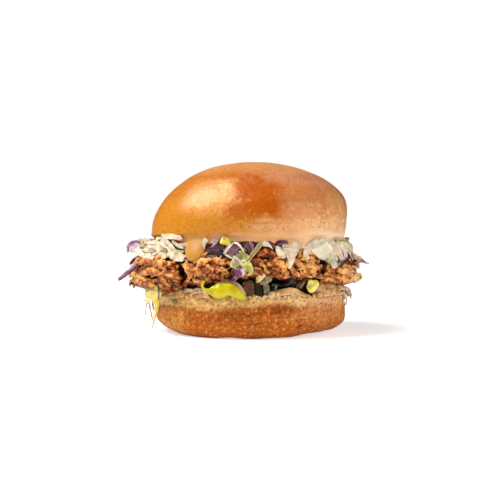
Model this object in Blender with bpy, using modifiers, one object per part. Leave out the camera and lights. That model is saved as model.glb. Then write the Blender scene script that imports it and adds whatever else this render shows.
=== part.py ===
"""A fried chicken burger on a brioche bun, stacked from its separate pieces.

From the table up: heel of the bun, a bed of shredded lettuce with two pickle slices and two pieces
of yellow pepper, the fried fillet, cabbage slaw, burger sauce with three drips, and the crown.

The origin is the middle of the heel's flat base. +Z is up and the burger's shown side faces -Y.
Angles go round the burger from that side: 0 is the front, 90 is +X, -90 is -X and 180 is the back.
Lengths are written in millimetres and multiplied by MM, because Blender works in metres.
"""

import math
import random

import bmesh
import bpy
import numpy as np

MM = 0.001

# Driving dimensions
GAP = 0.3 * MM  # air between two pieces that touch

HEEL_RADIUS = 51.2 * MM
HEEL_HEIGHT = 21.5 * MM
HEEL_FOOT_RADIUS = 44.0 * MM  # the flat that it stands on
HEEL_TOP_ROUND = 2.2 * MM

CROWN_RADIUS = 53.6 * MM
CROWN_TOP = 91.7 * MM
CROWN_BASE = 49.9 * MM  # height of its cut face
CROWN_BELLY = 59.5 * MM  # height where it is widest
CROWN_RIM_RADIUS = 47.8 * MM  # where the cut face ends and the side rounds up
CROWN_LEAN = 5.0 * MM  # its belly is this much higher at +X and lower at -X
CROWN_PEAK_SHIFT = 2.2 * MM  # the dome leans this far to +X

FILLET_LEFT, FILLET_RIGHT = 65.6 * MM, 59.4 * MM
FILLET_FRONT, FILLET_BACK = 52.4 * MM, 54.0 * MM
FILLET_TOP = 42.6 * MM
FILLET_TOP_LEFT, FILLET_TOP_RIGHT = 40.0 * MM, 37.0 * MM  # height of the upper side at the ends
FILLET_ARCH = 29.4 * MM  # height of the underside in the middle
FILLET_UNDER_LEFT, FILLET_UNDER_RIGHT = 23.2 * MM, 25.6 * MM  # and at the ends
FILLET_EDGE = 7.5 * MM  # how far in its side is rounded
# angle and share of the radius of each notch between two of its lobes
FILLET_NOTCHES = ((-38, 0.05), (-6, 0.035), (40, 0.045), (100, 0.05), (158, 0.06), (-140, 0.05))
CRAG_DEPTH = 3.4 * MM  # from the top of a knob to the bottom of a crease

SLAW_RADIUS = 50.0 * MM
SLAW_SPILL = 7.5 * MM  # how far it spills out over the fillet's left end

SAUCE_RADIUS = 50.9 * MM
SAUCE_BOTTOM, SAUCE_TOP = 48.3 * MM, 53.4 * MM
# angle, lowest point and half width of each drip
DRIPS = ((-30.5, 38.5 * MM, 5.6 * MM), (27.0, 45.4 * MM, 5.0 * MM), (148.0, 41.5 * MM, 4.4 * MM))

BED_RADIUS = 46.5 * MM
SHRED_THICKNESS = 1.3 * MM

PICKLE_THICKNESS = 2.9 * MM
# x, y, height above the heel and radius of each slice, in mm
PICKLES = {"pickle_low": (-1.0, -38.2, 0.0, 10.0), "pickle_high": (10.5, -33.5, 3.3, 10.0)}


# Shape functions --------------------------------------------------------------------------------


def smoothstep(low, high, value):
    """0 below low, 1 above high, and an S-curve between."""
    t = np.clip((value - low) / (high - low), 0.0, 1.0)
    return t * t * (3.0 - 2.0 * t)


def bump(angle, centre, spread):
    """A bell of height 1 round the burger at centre, all three in degrees."""
    off = (angle - centre + 180.0) % 360.0 - 180.0
    return np.exp(-((off / spread) ** 2))


def angle_of(x, y):
    """Degrees round the burger, 0 at the front and positive towards +X."""
    return np.degrees(np.arctan2(x, -y))


def polar_point(angle, radius, z):
    """The point at an angle in degrees, a radius and a height."""
    a = np.radians(angle)
    return np.stack([radius * np.sin(a), -radius * np.cos(a), z + 0.0 * a], axis=-1)


def lattice_value(cell, seed):
    """A repeatable number from -1 to 1 for each whole-numbered cell."""
    mixed = (cell[..., 0] * 73856093) ^ (cell[..., 1] * 19349663) ^ (cell[..., 2] * 83492791)
    mixed = (mixed ^ (seed * 97531)) & 0x7FFFFFFF
    for factor in (1103515245, 1274126177):
        mixed = ((mixed ^ (mixed >> 13)) * factor) & 0x7FFFFFFF
    return mixed / 0x3FFFFFFF - 1.0


def noise(points, seed):
    """Smooth noise from -1 to 1, with one lump to each unit of length."""
    cell = np.floor(points).astype(np.int64)
    part = points - cell
    part = part * part * (3.0 - 2.0 * part)
    total = np.zeros(len(points))
    for corner in np.ndindex(2, 2, 2):
        weight = np.where(corner, part, 1.0 - part).prod(axis=1)
        total += weight * lattice_value(cell + np.array(corner), seed)
    return total


def fillet_outline(angle):
    """The fillet's radius seen from above: four quarter ellipses, notched where its lobes meet."""
    a = np.radians(angle)
    across = np.where(np.sin(a) < 0, FILLET_LEFT, FILLET_RIGHT)
    along = np.where(np.cos(a) > 0, FILLET_FRONT, FILLET_BACK)
    radius = 1.0 / np.sqrt((np.sin(a) / across) ** 2 + (np.cos(a) / along) ** 2)
    for centre, depth in FILLET_NOTCHES:
        radius = radius * (1.0 - depth * bump(angle, centre, 5.0))
    return radius


def fillet_top(x):
    """Height of the fillet's upper side, which falls away at both ends."""
    left = (FILLET_TOP - FILLET_TOP_LEFT) * smoothstep(26 * MM, 60 * MM, -x)
    right = (FILLET_TOP - FILLET_TOP_RIGHT) * smoothstep(20 * MM, 54 * MM, x)
    return FILLET_TOP - left - right


def fillet_bottom(x):
    """Height of its underside, arched over the bed and lower at both ends."""
    left = (FILLET_ARCH - FILLET_UNDER_LEFT) * smoothstep(6 * MM, 44 * MM, -x)
    right = (FILLET_ARCH - FILLET_UNDER_RIGHT) * smoothstep(28 * MM, 50 * MM, x)
    return FILLET_ARCH - left - right


def fillet_reach(angle, z):
    """The radius of the fillet's knobs at a height, for laying shreds over its side."""
    outline = fillet_outline(angle)
    x = outline * np.sin(np.radians(angle))
    middle, half = (fillet_top(x) + fillet_bottom(x)) / 2, (fillet_top(x) - fillet_bottom(x)) / 2
    level = np.clip(np.abs(z - middle) / half, 0.0, 1.0)
    return outline - FILLET_EDGE * (1.0 - np.sqrt(1.0 - level**2))


def crag_relief(points):
    """How far the fried coating lies back from the fillet's outline, as a share of CRAG_DEPTH, from
    -1 to 0: round knobs with narrow creases between them, over broad lumps."""
    x, y, z = points.T / MM
    around = np.radians(angle_of(x, y)) * 56.0
    drift = 0.8 * noise(points / (9 * MM), 3)
    knobs = np.stack([around / 7.5 + drift, z / 5.0 - drift, np.full_like(z, 0.5)], axis=1)
    fine = np.stack([around / 4.8 - drift, z / 3.6 + drift, np.full_like(z, 7.5)], axis=1)
    rounded = np.abs(2.0 * noise(knobs, 5)) ** 0.55 + 0.25 * np.abs(2.0 * noise(fine, 6)) ** 0.7
    return np.clip(rounded + 0.45 * noise(points / (12 * MM), 8) - 1.25, -1.0, 0.0)


# Blender helpers --------------------------------------------------------------------------------


def clear_scene():
    for obj in list(bpy.data.objects):
        bpy.data.objects.remove(obj, do_unlink=True)


def new_collection(name, shown=True):
    collection = bpy.data.collections.new(name)
    bpy.context.scene.collection.children.link(collection)
    collection.hide_render = not shown
    return collection


def new_object(name, mesh, collection):
    obj = bpy.data.objects.new(name, mesh)
    collection.objects.link(obj)
    return obj


def apply_modifiers(obj):
    """Replaces the object's mesh by its evaluated one."""
    graph = bpy.context.evaluated_depsgraph_get()
    graph.update()
    mesh = bpy.data.meshes.new_from_object(obj.evaluated_get(graph))
    obj.modifiers.clear()
    obj.data = mesh
    return obj


def reshape(obj, move):
    """Gives every vertex the place that move(points) says, all at once."""
    points = np.empty(len(obj.data.vertices) * 3)
    obj.data.vertices.foreach_get("co", points)
    obj.data.vertices.foreach_set("co", move(points.reshape(-1, 3)).ravel())
    obj.data.update()
    return obj


def arc(centre, radii, start, end, steps):
    """Points of an elliptical arc in the XZ plane, angles in degrees from +X."""
    angles = np.radians(np.linspace(start, end, steps))
    return [(centre[0] + radii[0] * math.cos(t), centre[1] + radii[1] * math.sin(t)) for t in angles]


def turned(name, profile, steps, collection):
    """A solid of revolution: the (radius, height) profile, from its top centre down to its bottom
    centre, turned about Z by a Screw modifier."""
    mesh = bpy.data.meshes.new(name)
    edges = [(i, i + 1) for i in range(len(profile) - 1)]
    mesh.from_pydata([(r, 0.0, z) for r, z in profile], edges, [])
    obj = new_object(name, mesh, collection)
    screw = obj.modifiers.new("Turn", "SCREW")
    screw.axis = "Z"
    screw.steps = screw.render_steps = steps
    screw.use_merge_vertices = True
    screw.merge_threshold = 0.00001
    return apply_modifiers(obj)


def ball(name, segments, rings, collection):
    """A unit sphere with its poles on Z, to be reshaped."""
    mesh = bpy.data.meshes.new(name)
    cage = bmesh.new()
    bmesh.ops.create_uvsphere(cage, u_segments=segments, v_segments=rings, radius=1.0)
    cage.to_mesh(mesh)
    cage.free()
    return new_object(name, mesh, collection)


def slab(name, segments, rings, outline, bottom, top, edge, collection):
    """A flat round piece from bottom(x, y) to top(x, y) within outline(angle). It is a ball whose
    rings become the side, rounded edge far in, and whose two polar caps become the flat faces."""
    cap = 2.0 / rings

    def spread(points):
        tilt = np.arctan2(points[:, 2], np.hypot(points[:, 0], points[:, 1])) / (math.pi / 2)
        bend = np.clip(np.abs(tilt) / (1.0 - cap), 0.0, 1.0) * (math.pi / 2)
        inner = np.clip((1.0 - np.abs(tilt)) / cap, 0.0, 1.0)
        angle = angle_of(points[:, 0], points[:, 1])
        place = polar_point(angle, (outline(angle) - edge) * inner + edge * np.cos(bend), 0.0)
        x, y = place[:, 0], place[:, 1]
        level = np.sign(tilt) * np.sin(bend)
        place[:, 2] = (bottom(x, y) + top(x, y)) / 2 + level * (top(x, y) - bottom(x, y)) / 2
        return place

    return reshape(ball(name, segments, rings, collection), spread)


def boolean(obj, operation, collection):
    """Joins or cuts the object with every object in a collection, applies it, and drops scraps."""
    step = obj.modifiers.new(operation.title(), "BOOLEAN")
    step.operation = operation
    step.operand_type = "COLLECTION"
    step.collection = collection
    step.solver = "MANIFOLD"
    apply_modifiers(obj)
    keep_largest_body(obj)
    for spare in list(collection.objects):
        bpy.data.objects.remove(spare, do_unlink=True)
    return obj


def keep_largest_body(obj):
    """Removes every loose scrap that a Boolean left beside the main body, and fills every sealed
    hollow inside it, by keeping only the largest set of faces that share edges."""
    cage = bmesh.new()
    cage.from_mesh(obj.data)
    shells, seen = [], set()
    for first in cage.faces:
        if first in seen:
            continue
        shell, front = {first}, [first]
        while front:
            face = front.pop()
            beside = {other for edge in face.edges for other in edge.link_faces} - shell
            shell |= beside
            front.extend(beside)
        seen |= shell
        shells.append(shell)
    for shell in sorted(shells, key=len)[:-1]:
        bmesh.ops.delete(cage, geom=list(shell), context="FACES")
    cage.to_mesh(obj.data)
    cage.free()


def food_material(obj, name, colour, roughness):
    """A plain Principled material, with colour as sRGB hex."""
    material = bpy.data.materials.new(name)
    material.use_nodes = True
    shader = material.node_tree.nodes["Principled BSDF"]
    channels = [int(colour[i : i + 2], 16) / 255 for i in (1, 3, 5)]
    linear = [c / 12.92 if c <= 0.04045 else ((c + 0.055) / 1.055) ** 2.4 for c in channels]
    shader.inputs["Base Color"].default_value = (*linear, 1.0)
    shader.inputs["Roughness"].default_value = roughness
    shader.inputs["Metallic"].default_value = 0.0
    material.diffuse_color = (*linear, 1.0)
    obj.data.materials.clear()
    obj.data.materials.append(material)
    obj.data.shade_smooth()


# The bun ----------------------------------------------------------------------------------------


def heel_out_of_round(points):
    """The heel as baked: a little lobed, and its top pressed down in the middle."""
    angle = angle_of(points[:, 0], points[:, 1])
    lobes = 1.0 + 0.007 * np.cos(np.radians(3 * angle + 40)) + 0.005 * np.sin(np.radians(5 * angle))
    moved = points.copy()
    moved[:, :2] *= lobes[:, None]
    pressed = 1.0 - smoothstep(30 * MM, 45 * MM, np.hypot(points[:, 0], points[:, 1]))
    moved[:, 2] -= 0.6 * MM * pressed * (points[:, 2] > HEEL_HEIGHT / 2)
    return moved


def make_heel(collection, grow=0.0, steps=42, name="bun_heel"):
    """The lower half of the bun. grow makes it larger all over, for a cutter."""
    foot, side, top = HEEL_FOOT_RADIUS, HEEL_RADIUS + grow, HEEL_HEIGHT + grow
    round_in = HEEL_TOP_ROUND
    profile = [(0.0, top), (30 * MM, top), (42 * MM, top)]
    profile += arc((side - round_in, top - round_in), (round_in, round_in), 90, 0, 4)
    profile += [(side + 0.3 * MM, 0.66 * top)]
    profile += arc((foot, 8 * MM), (side - foot, 8 * MM + grow), 0, -90, 6)
    profile += [(0.0, -grow)]
    return reshape(turned(name, profile, steps, collection), heel_out_of_round)


def crown_out_of_round(points):
    """The crown as baked: its belly is higher at the right and its rim wider at the left, its dome
    leans over, and it has broad shallow dents."""
    angle = angle_of(points[:, 0], points[:, 1])
    lift = smoothstep(CROWN_BASE, CROWN_BELLY, points[:, 2])
    dome = smoothstep(CROWN_BELLY, CROWN_TOP, points[:, 2])
    side = np.sin(np.radians(angle)) * np.hypot(points[:, 0], points[:, 1]) / CROWN_RADIUS
    lobes = 1.0 + 0.006 * np.cos(np.radians(2 * angle - 30)) + 0.004 * np.sin(np.radians(3 * angle))
    rim = 1.0 + 0.045 * smoothstep(0.2, 0.9, -side) * (1.0 - lift)
    moved = points.copy()
    moved[:, :2] *= (lobes * rim)[:, None]
    moved[:, 0] += CROWN_PEAK_SHIFT * dome
    moved[:, 2] += CROWN_LEAN * side * lift * (1.0 - dome)
    moved[:, 2] -= 0.7 * MM * dome * noise(points / (30 * MM), 11)
    return moved


def make_crown(collection, grow=0.0, steps=44, dome_steps=10, name="bun_crown"):
    """The upper half of the bun: a dome on a side that rounds under to the cut face."""
    belly, rim = CROWN_RADIUS + grow, CROWN_RIM_RADIUS
    profile = arc((0.0, CROWN_BELLY), (belly, CROWN_TOP - CROWN_BELLY + grow), 90, 0, dome_steps)
    profile += arc((rim, CROWN_BELLY), (belly - rim, CROWN_BELLY - CROWN_BASE + grow), 0, -90, 5)[1:]
    profile += [(0.0, CROWN_BASE - grow)]
    return reshape(turned(name, profile, steps, collection), crown_out_of_round)


# The fillet -------------------------------------------------------------------------------------


def make_fillet_form(name, segments, rings, grow, collection):
    """The fillet without its crags, grown all over by grow."""

    def outline(angle):
        return fillet_outline(angle) + grow

    def bottom(x, y):
        return fillet_bottom(x) - grow

    def top(x, y):
        return fillet_top(x) + grow

    return slab(name, segments, rings, outline, bottom, top, FILLET_EDGE, collection)


def make_fillet(collection):
    """The fried fillet: a lobed slab arched over the bed, with crags all round its side."""

    def roughen(points):
        flat = np.hypot(points[:, 0], points[:, 1])
        shown = smoothstep(0.70, 0.86, flat / fillet_outline(angle_of(points[:, 0], points[:, 1])))
        depth = CRAG_DEPTH * shown * crag_relief(points)
        middle = (fillet_top(points[:, 0]) + fillet_bottom(points[:, 0])) / 2
        upper = np.clip((points[:, 2] - middle) / (6 * MM), 0.0, 1.0)
        out = points / np.maximum(flat, 1e-6)[:, None]
        out[:, 2] = 0.5 * upper
        return points + out * depth[:, None]

    return reshape(make_fillet_form("fried_fillet", 108, 14, 0.0, collection), roughen)


# Shreds and leaves ------------------------------------------------------------------------------


def smooth_path(knots, steps):
    """Points of a Catmull-Rom curve through the knots, steps of them."""
    padded = np.concatenate([2 * knots[:1] - knots[1:2], knots, 2 * knots[-1:] - knots[-2:-1]])
    along = np.linspace(0.0, len(knots) - 1 - 1e-9, steps)
    i = along.astype(int)
    t = (along - i)[:, None]
    a, b, c, d = (padded[i + k] for k in range(4))
    cubic = 3 * b - a - 3 * c + d
    return 0.5 * (2 * b + (c - a) * t + (2 * a - 5 * b + 4 * c - d) * t**2 + cubic * t**3)


def unit(vectors):
    return vectors / np.linalg.norm(vectors, axis=1)[:, None]


def ribbon(name, knots, widths, rows, columns, collection, curl=0.0):
    """A shred or a leaf: a flat strip along a smooth curve, facing away from the burger's axis, with
    its width from widths and its long edges rolled up by curl, made solid by Solidify."""
    path = smooth_path(np.array(knots), rows)
    width = np.interp(np.linspace(0, 1, rows), np.linspace(0, 1, len(widths)), widths)
    run = unit(np.gradient(path, axis=0))
    outward = unit(path * [1.0, 1.0, 0.0])
    facing = np.abs((run * outward).sum(axis=1))
    outward = outward + np.array([0.0, 0.0, 1.2]) * facing[:, None]
    side = unit(np.cross(run, outward))
    face = np.cross(side, run)
    across = np.linspace(-0.5, 0.5, columns)
    grid = path[:, None] + side[:, None] * (across[:, None] * width[:, None, None])
    grid += face[:, None] * (curl * width[:, None, None] * (4 * across[:, None] ** 2 - 0.5))
    mesh = bpy.data.meshes.new(name)
    cage = bmesh.new()
    bmesh.ops.create_grid(cage, x_segments=rows - 1, y_segments=columns - 1, size=1.0)
    order = sorted(cage.verts, key=lambda v: (round(v.co.x, 5), round(v.co.y, 5)))
    for vertex, place in zip(order, grid.reshape(-1, 3)):
        vertex.co = place
    cage.to_mesh(mesh)
    cage.free()
    obj = new_object(name, mesh, collection)
    solid = obj.modifiers.new("Thickness", "SOLIDIFY")
    solid.thickness = SHRED_THICKNESS
    solid.offset = 0.0
    solid.use_even_offset = False
    return apply_modifiers(obj)


def laid_shred(
    collection, angles, heights, width, lift=(0.2, 0.2), tip=0.4, columns=2, rooted=True
):
    """A shred from one angle and height to another, laid over the fillet's side or the crown's. lift
    holds each end further off. A rooted one starts inside the slaw. Lengths are in millimetres."""
    along = np.array([0.0, 0.2, 0.6, 1.0])
    angle = angles[0] + (angles[1] - angles[0]) * along
    z = (heights[0] + (heights[1] - heights[0]) * along) * MM
    beside = np.where(z > CROWN_BASE, CROWN_RADIUS, SLAW_RADIUS)
    cover = np.maximum(fillet_reach(angle, z), beside) + GAP + SHRED_THICKNESS / 2 + 0.2 * MM
    knots = polar_point(angle, cover + np.interp(along, [0, 1], lift) * MM, z)
    if rooted:
        radius = np.array([SLAW_RADIUS - 7 * MM, SLAW_RADIUS - MM])
        height = np.array([45.4 * MM, np.clip(z[0], 44 * MM, 47.2 * MM)])
        knots = np.concatenate([polar_point(np.full(2, angles[0]), radius, height), knots])
    widths = np.array([0.8, 1.0, 1.0, 0.85, tip]) * width * MM
    ribbon("shred", knots, widths, 6 if rooted else 5, columns, collection, curl=0.08 * (columns > 2))


def hung_shred(collection, angles, low, width, out=1.4, tip=0.4, columns=2):
    """A shred from the bed at the first angle, which hangs over the heel's edge to the second angle
    and the height low. It hangs out clear of the heel. Lengths are in millimetres."""
    along = np.array([0.0, 0.0, 0.2, 0.6, 1.0])
    angle = angles[0] + (angles[1] - angles[0]) * along
    z = np.array([23.4, 23.6, 22.6, (21.5 + low) / 2, low]) * MM
    radius = np.array([BED_RADIUS - 7 * MM, HEEL_RADIUS - 2.5 * MM] + 3 * [HEEL_RADIUS + out * MM])
    widths = np.array([0.8, 1.0, 1.0, 0.8, tip]) * width * MM
    ribbon("shred", polar_point(angle, radius, z), widths, 6, columns, collection)


def laid_leaf(collection, knots, width):
    """A piece that follows no side: the knots of its centre line and its width, in millimetres."""
    widths = np.array([0.8, 1.0, 1.0, 0.8, 0.5]) * width * MM
    ribbon("leaf", np.array(knots) * MM, widths, 7, 3 if width > 4 else 2, collection, curl=0.06)


# The slaw ---------------------------------------------------------------------------------------

# Centre lines in mm: a curl at the clump's end, and a shred that strays off it past the fillet
LEFT_CURL = (
    (-57, -18, 47), (-62, -16, 48.2), (-66, -14, 46.8), (-66.6, -13, 44), (-64.5, -13, 42.2),
)
LEFT_STRAY = (
    (-44, 12, 44.5), (-60, 18, 43), (-64.4, 17, 37), (-66.6, 10, 32.6), (-69, 0, 30), (-72, -8, 27.6),
)


def place_left_clump(parts):
    """The dressed shreds that spill over the fillet's left end, raked one above the other."""
    count = 7
    for i in range(count):
        share = i / (count - 1)
        angles = (-38 - 2 * (i % 2), -88 - 5 * (i % 3))
        heights = (50.4 - 9.0 * share, 48.2 - 6.0 * share)
        lift = (0.2 + 0.5 * (i % 2), 5.4 - 0.6 * (i % 3))
        laid_shred(parts, angles, heights, 3.8, lift=lift, tip=0.8, rooted=False)
    laid_leaf(parts, LEFT_CURL, 4.2)
    laid_leaf(parts, LEFT_STRAY, 2.6)


def place_front_slaw(parts):
    """The shreds that show from the front, left to right: angles, heights and a width in mm."""
    for i in range(3):
        laid_shred(parts, (-26 + i, -12 - i), (47.6 - 1.8 * i, 47.0 - 1.7 * i), 2.4, tip=0.8)
    laid_shred(parts, (-15, -10), (50.6, 47.5), 4.2, tip=0.9)
    laid_shred(parts, (-12, -4), (48.0, 41.0), 6.6, tip=0.8, columns=3)
    laid_shred(parts, (-2, 1), (48.4, 42.0), 4.2, tip=0.7)
    laid_shred(parts, (6, -3), (48.4, 38.0), 3.2, lift=(1.0, 1.0), tip=0.8)
    laid_shred(parts, (-3, -4), (42.5, 34.2), 6.6, tip=0.8, columns=3, rooted=False)
    laid_shred(parts, (-4, -12), (37.0, 29.6), 4.6, lift=(1.0, 0.6), tip=0.7, rooted=False)
    laid_shred(parts, (7, 12), (48.6, 44.8), 3.6)
    laid_shred(parts, (14, 20), (48.0, 45.0), 3.0, tip=0.8)
    laid_shred(parts, (22, 21), (48.2, 34.8), 7.4, lift=(0.6, 0.4), tip=0.3, columns=3)
    laid_shred(parts, (35, 32), (46.5, 39.6), 3.0, lift=(0.6, 0.6), tip=0.6)
    laid_shred(parts, (39, 46), (48.2, 34.6), 8.6, lift=(0.8, 0.6), columns=3)
    laid_shred(parts, (47, 56), (48.2, 38.6), 3.2, lift=(0.6, 0.8), tip=0.7)
    laid_shred(parts, (54, 67), (45.6, 36.0), 3.8, lift=(1.0, 0.8), tip=0.6, columns=3)
    laid_shred(parts, (62, 76), (49.2, 42.6), 5.4, lift=(0.6, 1.0), tip=0.6, columns=3)
    laid_shred(parts, (72, 84), (41.5, 36.0), 4.6, lift=(0.6, 2.2), columns=3)


def place_back_slaw(parts, dice):
    """Shreds round the sides and back that the front doesn't show, spread evenly by a loop."""
    count, first, last = 12, 100, 240
    for i in range(count):
        start = first + (last - first) * (i + dice.uniform(-0.3, 0.3)) / (count - 1)
        high = dice.uniform(45.0, 48.6)
        angles = (start, start + dice.uniform(-13, 13))
        heights = (high, high - dice.uniform(5, 12))
        width = dice.uniform(3.0, 7.0)
        lift = (0.2, dice.uniform(0.2, 1.6))
        laid_shred(parts, angles, heights, width, lift=lift, tip=dice.uniform(0.3, 0.8))


def slaw_outline(angle):
    """The core's edge, which spills out over the fillet's left end."""
    return SLAW_RADIUS + 0.9 * MM * np.sin(np.radians(7 * angle)) + SLAW_SPILL * bump(angle, -84, 27)


def make_slaw(shown, parts, cutters, dice):
    """The slaw: a thin core between the fillet and the sauce, with shreds fused on all round."""

    def bottom(x, y):
        return fillet_top(x) + 3 * GAP

    def top(x, y):
        return np.full_like(x, SAUCE_BOTTOM - 2 * GAP)

    core = slab("cabbage_slaw", 36, 8, slaw_outline, bottom, top, 2.5 * MM, shown)
    place_left_clump(parts)
    place_front_slaw(parts)
    place_back_slaw(parts, dice)
    boolean(core, "UNION", parts)
    make_fillet_form("fillet_clearance", 40, 8, 2 * GAP, cutters)
    make_crown(cutters, grow=GAP, steps=36, dome_steps=3, name="crown_clearance")
    make_sauce_forms(cutters, cutters, grow=GAP)
    return boolean(core, "DIFFERENCE", cutters)


# The sauce --------------------------------------------------------------------------------------


def sauce_outline(angle):
    """The sauce's edge, squeezed out unevenly."""
    wave = 0.6 * np.sin(np.radians(5 * angle + 60)) + 0.4 * np.sin(np.radians(9 * angle))
    return SAUCE_RADIUS + MM * wave


def make_sauce_forms(layer_in, drips_in, grow=0.0):
    """The layer and its drips as separate solids, grown all over when they are cutters."""

    def outline(angle):
        return sauce_outline(angle) + grow

    def bottom(x, y):
        return np.full_like(x, SAUCE_BOTTOM - grow)

    def top(x, y):
        return np.full_like(x, SAUCE_TOP + grow)

    layer = slab("burger_sauce", 40, 8, outline, bottom, top, 1.6 * MM, layer_in)
    for drip in DRIPS:
        place_drip(drips_in, *drip, grow)
    return layer


def place_drip(collection, angle, low, half_width, grow):
    """One hanging tongue of sauce, a blunt drop: its foot hangs clear of the fillet and its head
    leans in under the crown."""
    high = CROWN_BASE + 2.0 * MM
    middle, half_height = (high + low) / 2, (high - low) / 2
    front, root = fillet_reach(angle, low) + 2.1 * MM, SAUCE_RADIUS - 1.0 * MM

    def hang(points):
        level = np.sign(points[:, 2]) * np.abs(points[:, 2]) ** 0.75
        swell = np.abs(points[:, :2]) ** 0.85 * np.sign(points[:, :2]) * (1.0 - 0.1 * level)[:, None]
        z = middle + (half_height + grow) * level
        lean = (front - root) * smoothstep(middle - MM, high - MM, z)
        turn = angle + np.degrees(swell[:, 0] * (half_width + grow) / front)
        return polar_point(turn, front - (1.7 * MM + grow) * swell[:, 1] - lean, z)

    reshape(ball("drip", 12, 8, collection), hang)


def make_sauce(shown, parts, cutters):
    """A layer of sauce under the crown with its drips, cut to fit the crown's rounded rim."""
    layer = make_sauce_forms(shown, parts)
    boolean(layer, "UNION", parts)
    make_fillet_form("fillet_clearance", 40, 8, 2 * GAP, cutters)
    make_crown(cutters, grow=GAP, dome_steps=4, name="crown_clearance")
    return boolean(layer, "DIFFERENCE", cutters)


# The bed ----------------------------------------------------------------------------------------


def make_pickle(name, x, y, height, radius, collection, grow=0.0):
    """A crinkle-cut pickle slice lying flat: a disc whose rim is ribbed."""
    ribs = 16
    mesh = bpy.data.meshes.new(name)
    cage = bmesh.new()
    bmesh.ops.create_cone(
        cage,
        cap_ends=True,
        cap_tris=True,
        segments=ribs if grow else 2 * ribs,
        depth=PICKLE_THICKNESS + 2 * grow,
        radius1=radius * MM + grow,
        radius2=radius * MM + grow - 0.3 * MM,
    )
    cage.to_mesh(mesh)
    cage.free()

    def crinkle(points):
        turn = np.arctan2(points[:, 1], points[:, 0])
        rib = 1.0 + 0.03 * np.cos(ribs * turn)
        centre = np.array([x * MM, y * MM, HEEL_HEIGHT + GAP + height * MM + PICKLE_THICKNESS / 2])
        return points * np.stack([rib, 0.94 * rib, np.ones_like(rib)], axis=1) + centre

    return reshape(new_object(name, mesh, collection), crinkle)


def make_pepper(name, knots, collection, grow=0.0):
    """A round-sectioned piece along a smooth curve through the knots, as a closed mesh."""
    knots = np.array(knots)
    steps = 2 * (len(knots) - 1) + 1
    path = smooth_path(knots[:, :3] * MM, steps)
    swell = np.interp(np.linspace(0, 1, steps), np.linspace(0, 1, len(knots)), knots[:, 3]) + grow / MM
    curve = bpy.data.curves.new(name, "CURVE")
    curve.dimensions = "3D"
    curve.bevel_depth = 1.0 * MM
    curve.bevel_resolution = 2
    curve.use_fill_caps = True
    spline = curve.splines.new("POLY")
    spline.points.add(steps - 1)
    for point, place, radius in zip(spline.points, path, swell):
        point.co = (*place, 1.0)
        point.radius = radius
    guide = new_object(name + "_curve", curve, collection)
    graph = bpy.context.evaluated_depsgraph_get()
    graph.update()
    mesh = bpy.data.meshes.new_from_object(guide.evaluated_get(graph))
    bpy.data.objects.remove(guide, do_unlink=True)
    cage = bmesh.new()
    cage.from_mesh(mesh)
    bmesh.ops.remove_doubles(cage, verts=cage.verts, dist=0.01 * MM)
    bmesh.ops.recalc_face_normals(cage, faces=cage.faces)
    cage.to_mesh(mesh)
    cage.free()
    return new_object(name, mesh, collection)


# Centre lines from the thin end, each point followed by the radius there, in mm
LONG_PEPPER = (
    (-21.9, -53.4, 29.6, 0.7),
    (-23.2, -53.6, 27.7, 0.6),
    (-22.7, -53.6, 25.7, 0.7),
    (-20.4, -53.8, 24.6, 1.1),
    (-18.0, -54.0, 24.3, 2.6),
    (-15.3, -54.6, 24.4, 3.9),
    (-12.6, -54.8, 24.9, 3.4),
    (-9.9, -55.2, 25.2, 2.8),
    (-7.2, -55.6, 23.9, 2.4),
    (-4.4, -55.8, 22.0, 1.9),
    (-1.6, -55.8, 20.8, 1.3),
)
SHORT_PEPPER = (
    (33.4, -42.0, 29.0, 0.8),
    (32.2, -43.4, 27.4, 2.3),
    (30.2, -44.6, 26.0, 2.7),
    (28.4, -45.4, 25.2, 1.6),
)

# Shreds that hang over the heel's edge: angles, and in mm the lowest height, width and stand-off
HUNG_SHREDS = (
    ((-97, -95), 9.0, 1.6, 4.6),
    ((-92, -89), 12.5, 2.0, 3.4),
    ((-83, -79), 3.6, 2.2, 2.4),
    ((-88, -84), 16.0, 4.0, 1.4),
    ((62, 71), 19.0, 6.0, 1.0),
    ((72, 80), 18.0, 3.4, 2.0),
)
# Centre lines of the leaves at the bed's front, in mm
LEFT_LEAF = ((-40, -22, 23.3), (-33, -39, 23.4), (-28.5, -44.0, 24.0), (-24, -46.5, 23.8))
MIDDLE_LEAF = (
    (-14, -30, 25.4), (-12, -44, 27.0), (-7.5, -50.4, 28.2), (-3.5, -52.4, 26.0), (-0.5, -53, 22.6),
)
RIGHT_LEAF = ((14, -26, 25), (17, -44.6, 25.0), (20, -46.6, 25.0), (23, -46.2, 24.4), (25.4, -45, 23.8))


def bed_outline(angle):
    """The bed's edge: drawn in at the front, where the pickles and the shadow between them show."""
    wave = 1.0 * np.sin(np.radians(6 * angle)) + 0.7 * np.sin(np.radians(11 * angle + 30))
    return BED_RADIUS + MM * (wave - 12.0 * smoothstep(0.25, 0.75, bump(angle, 14, 34)))


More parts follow.
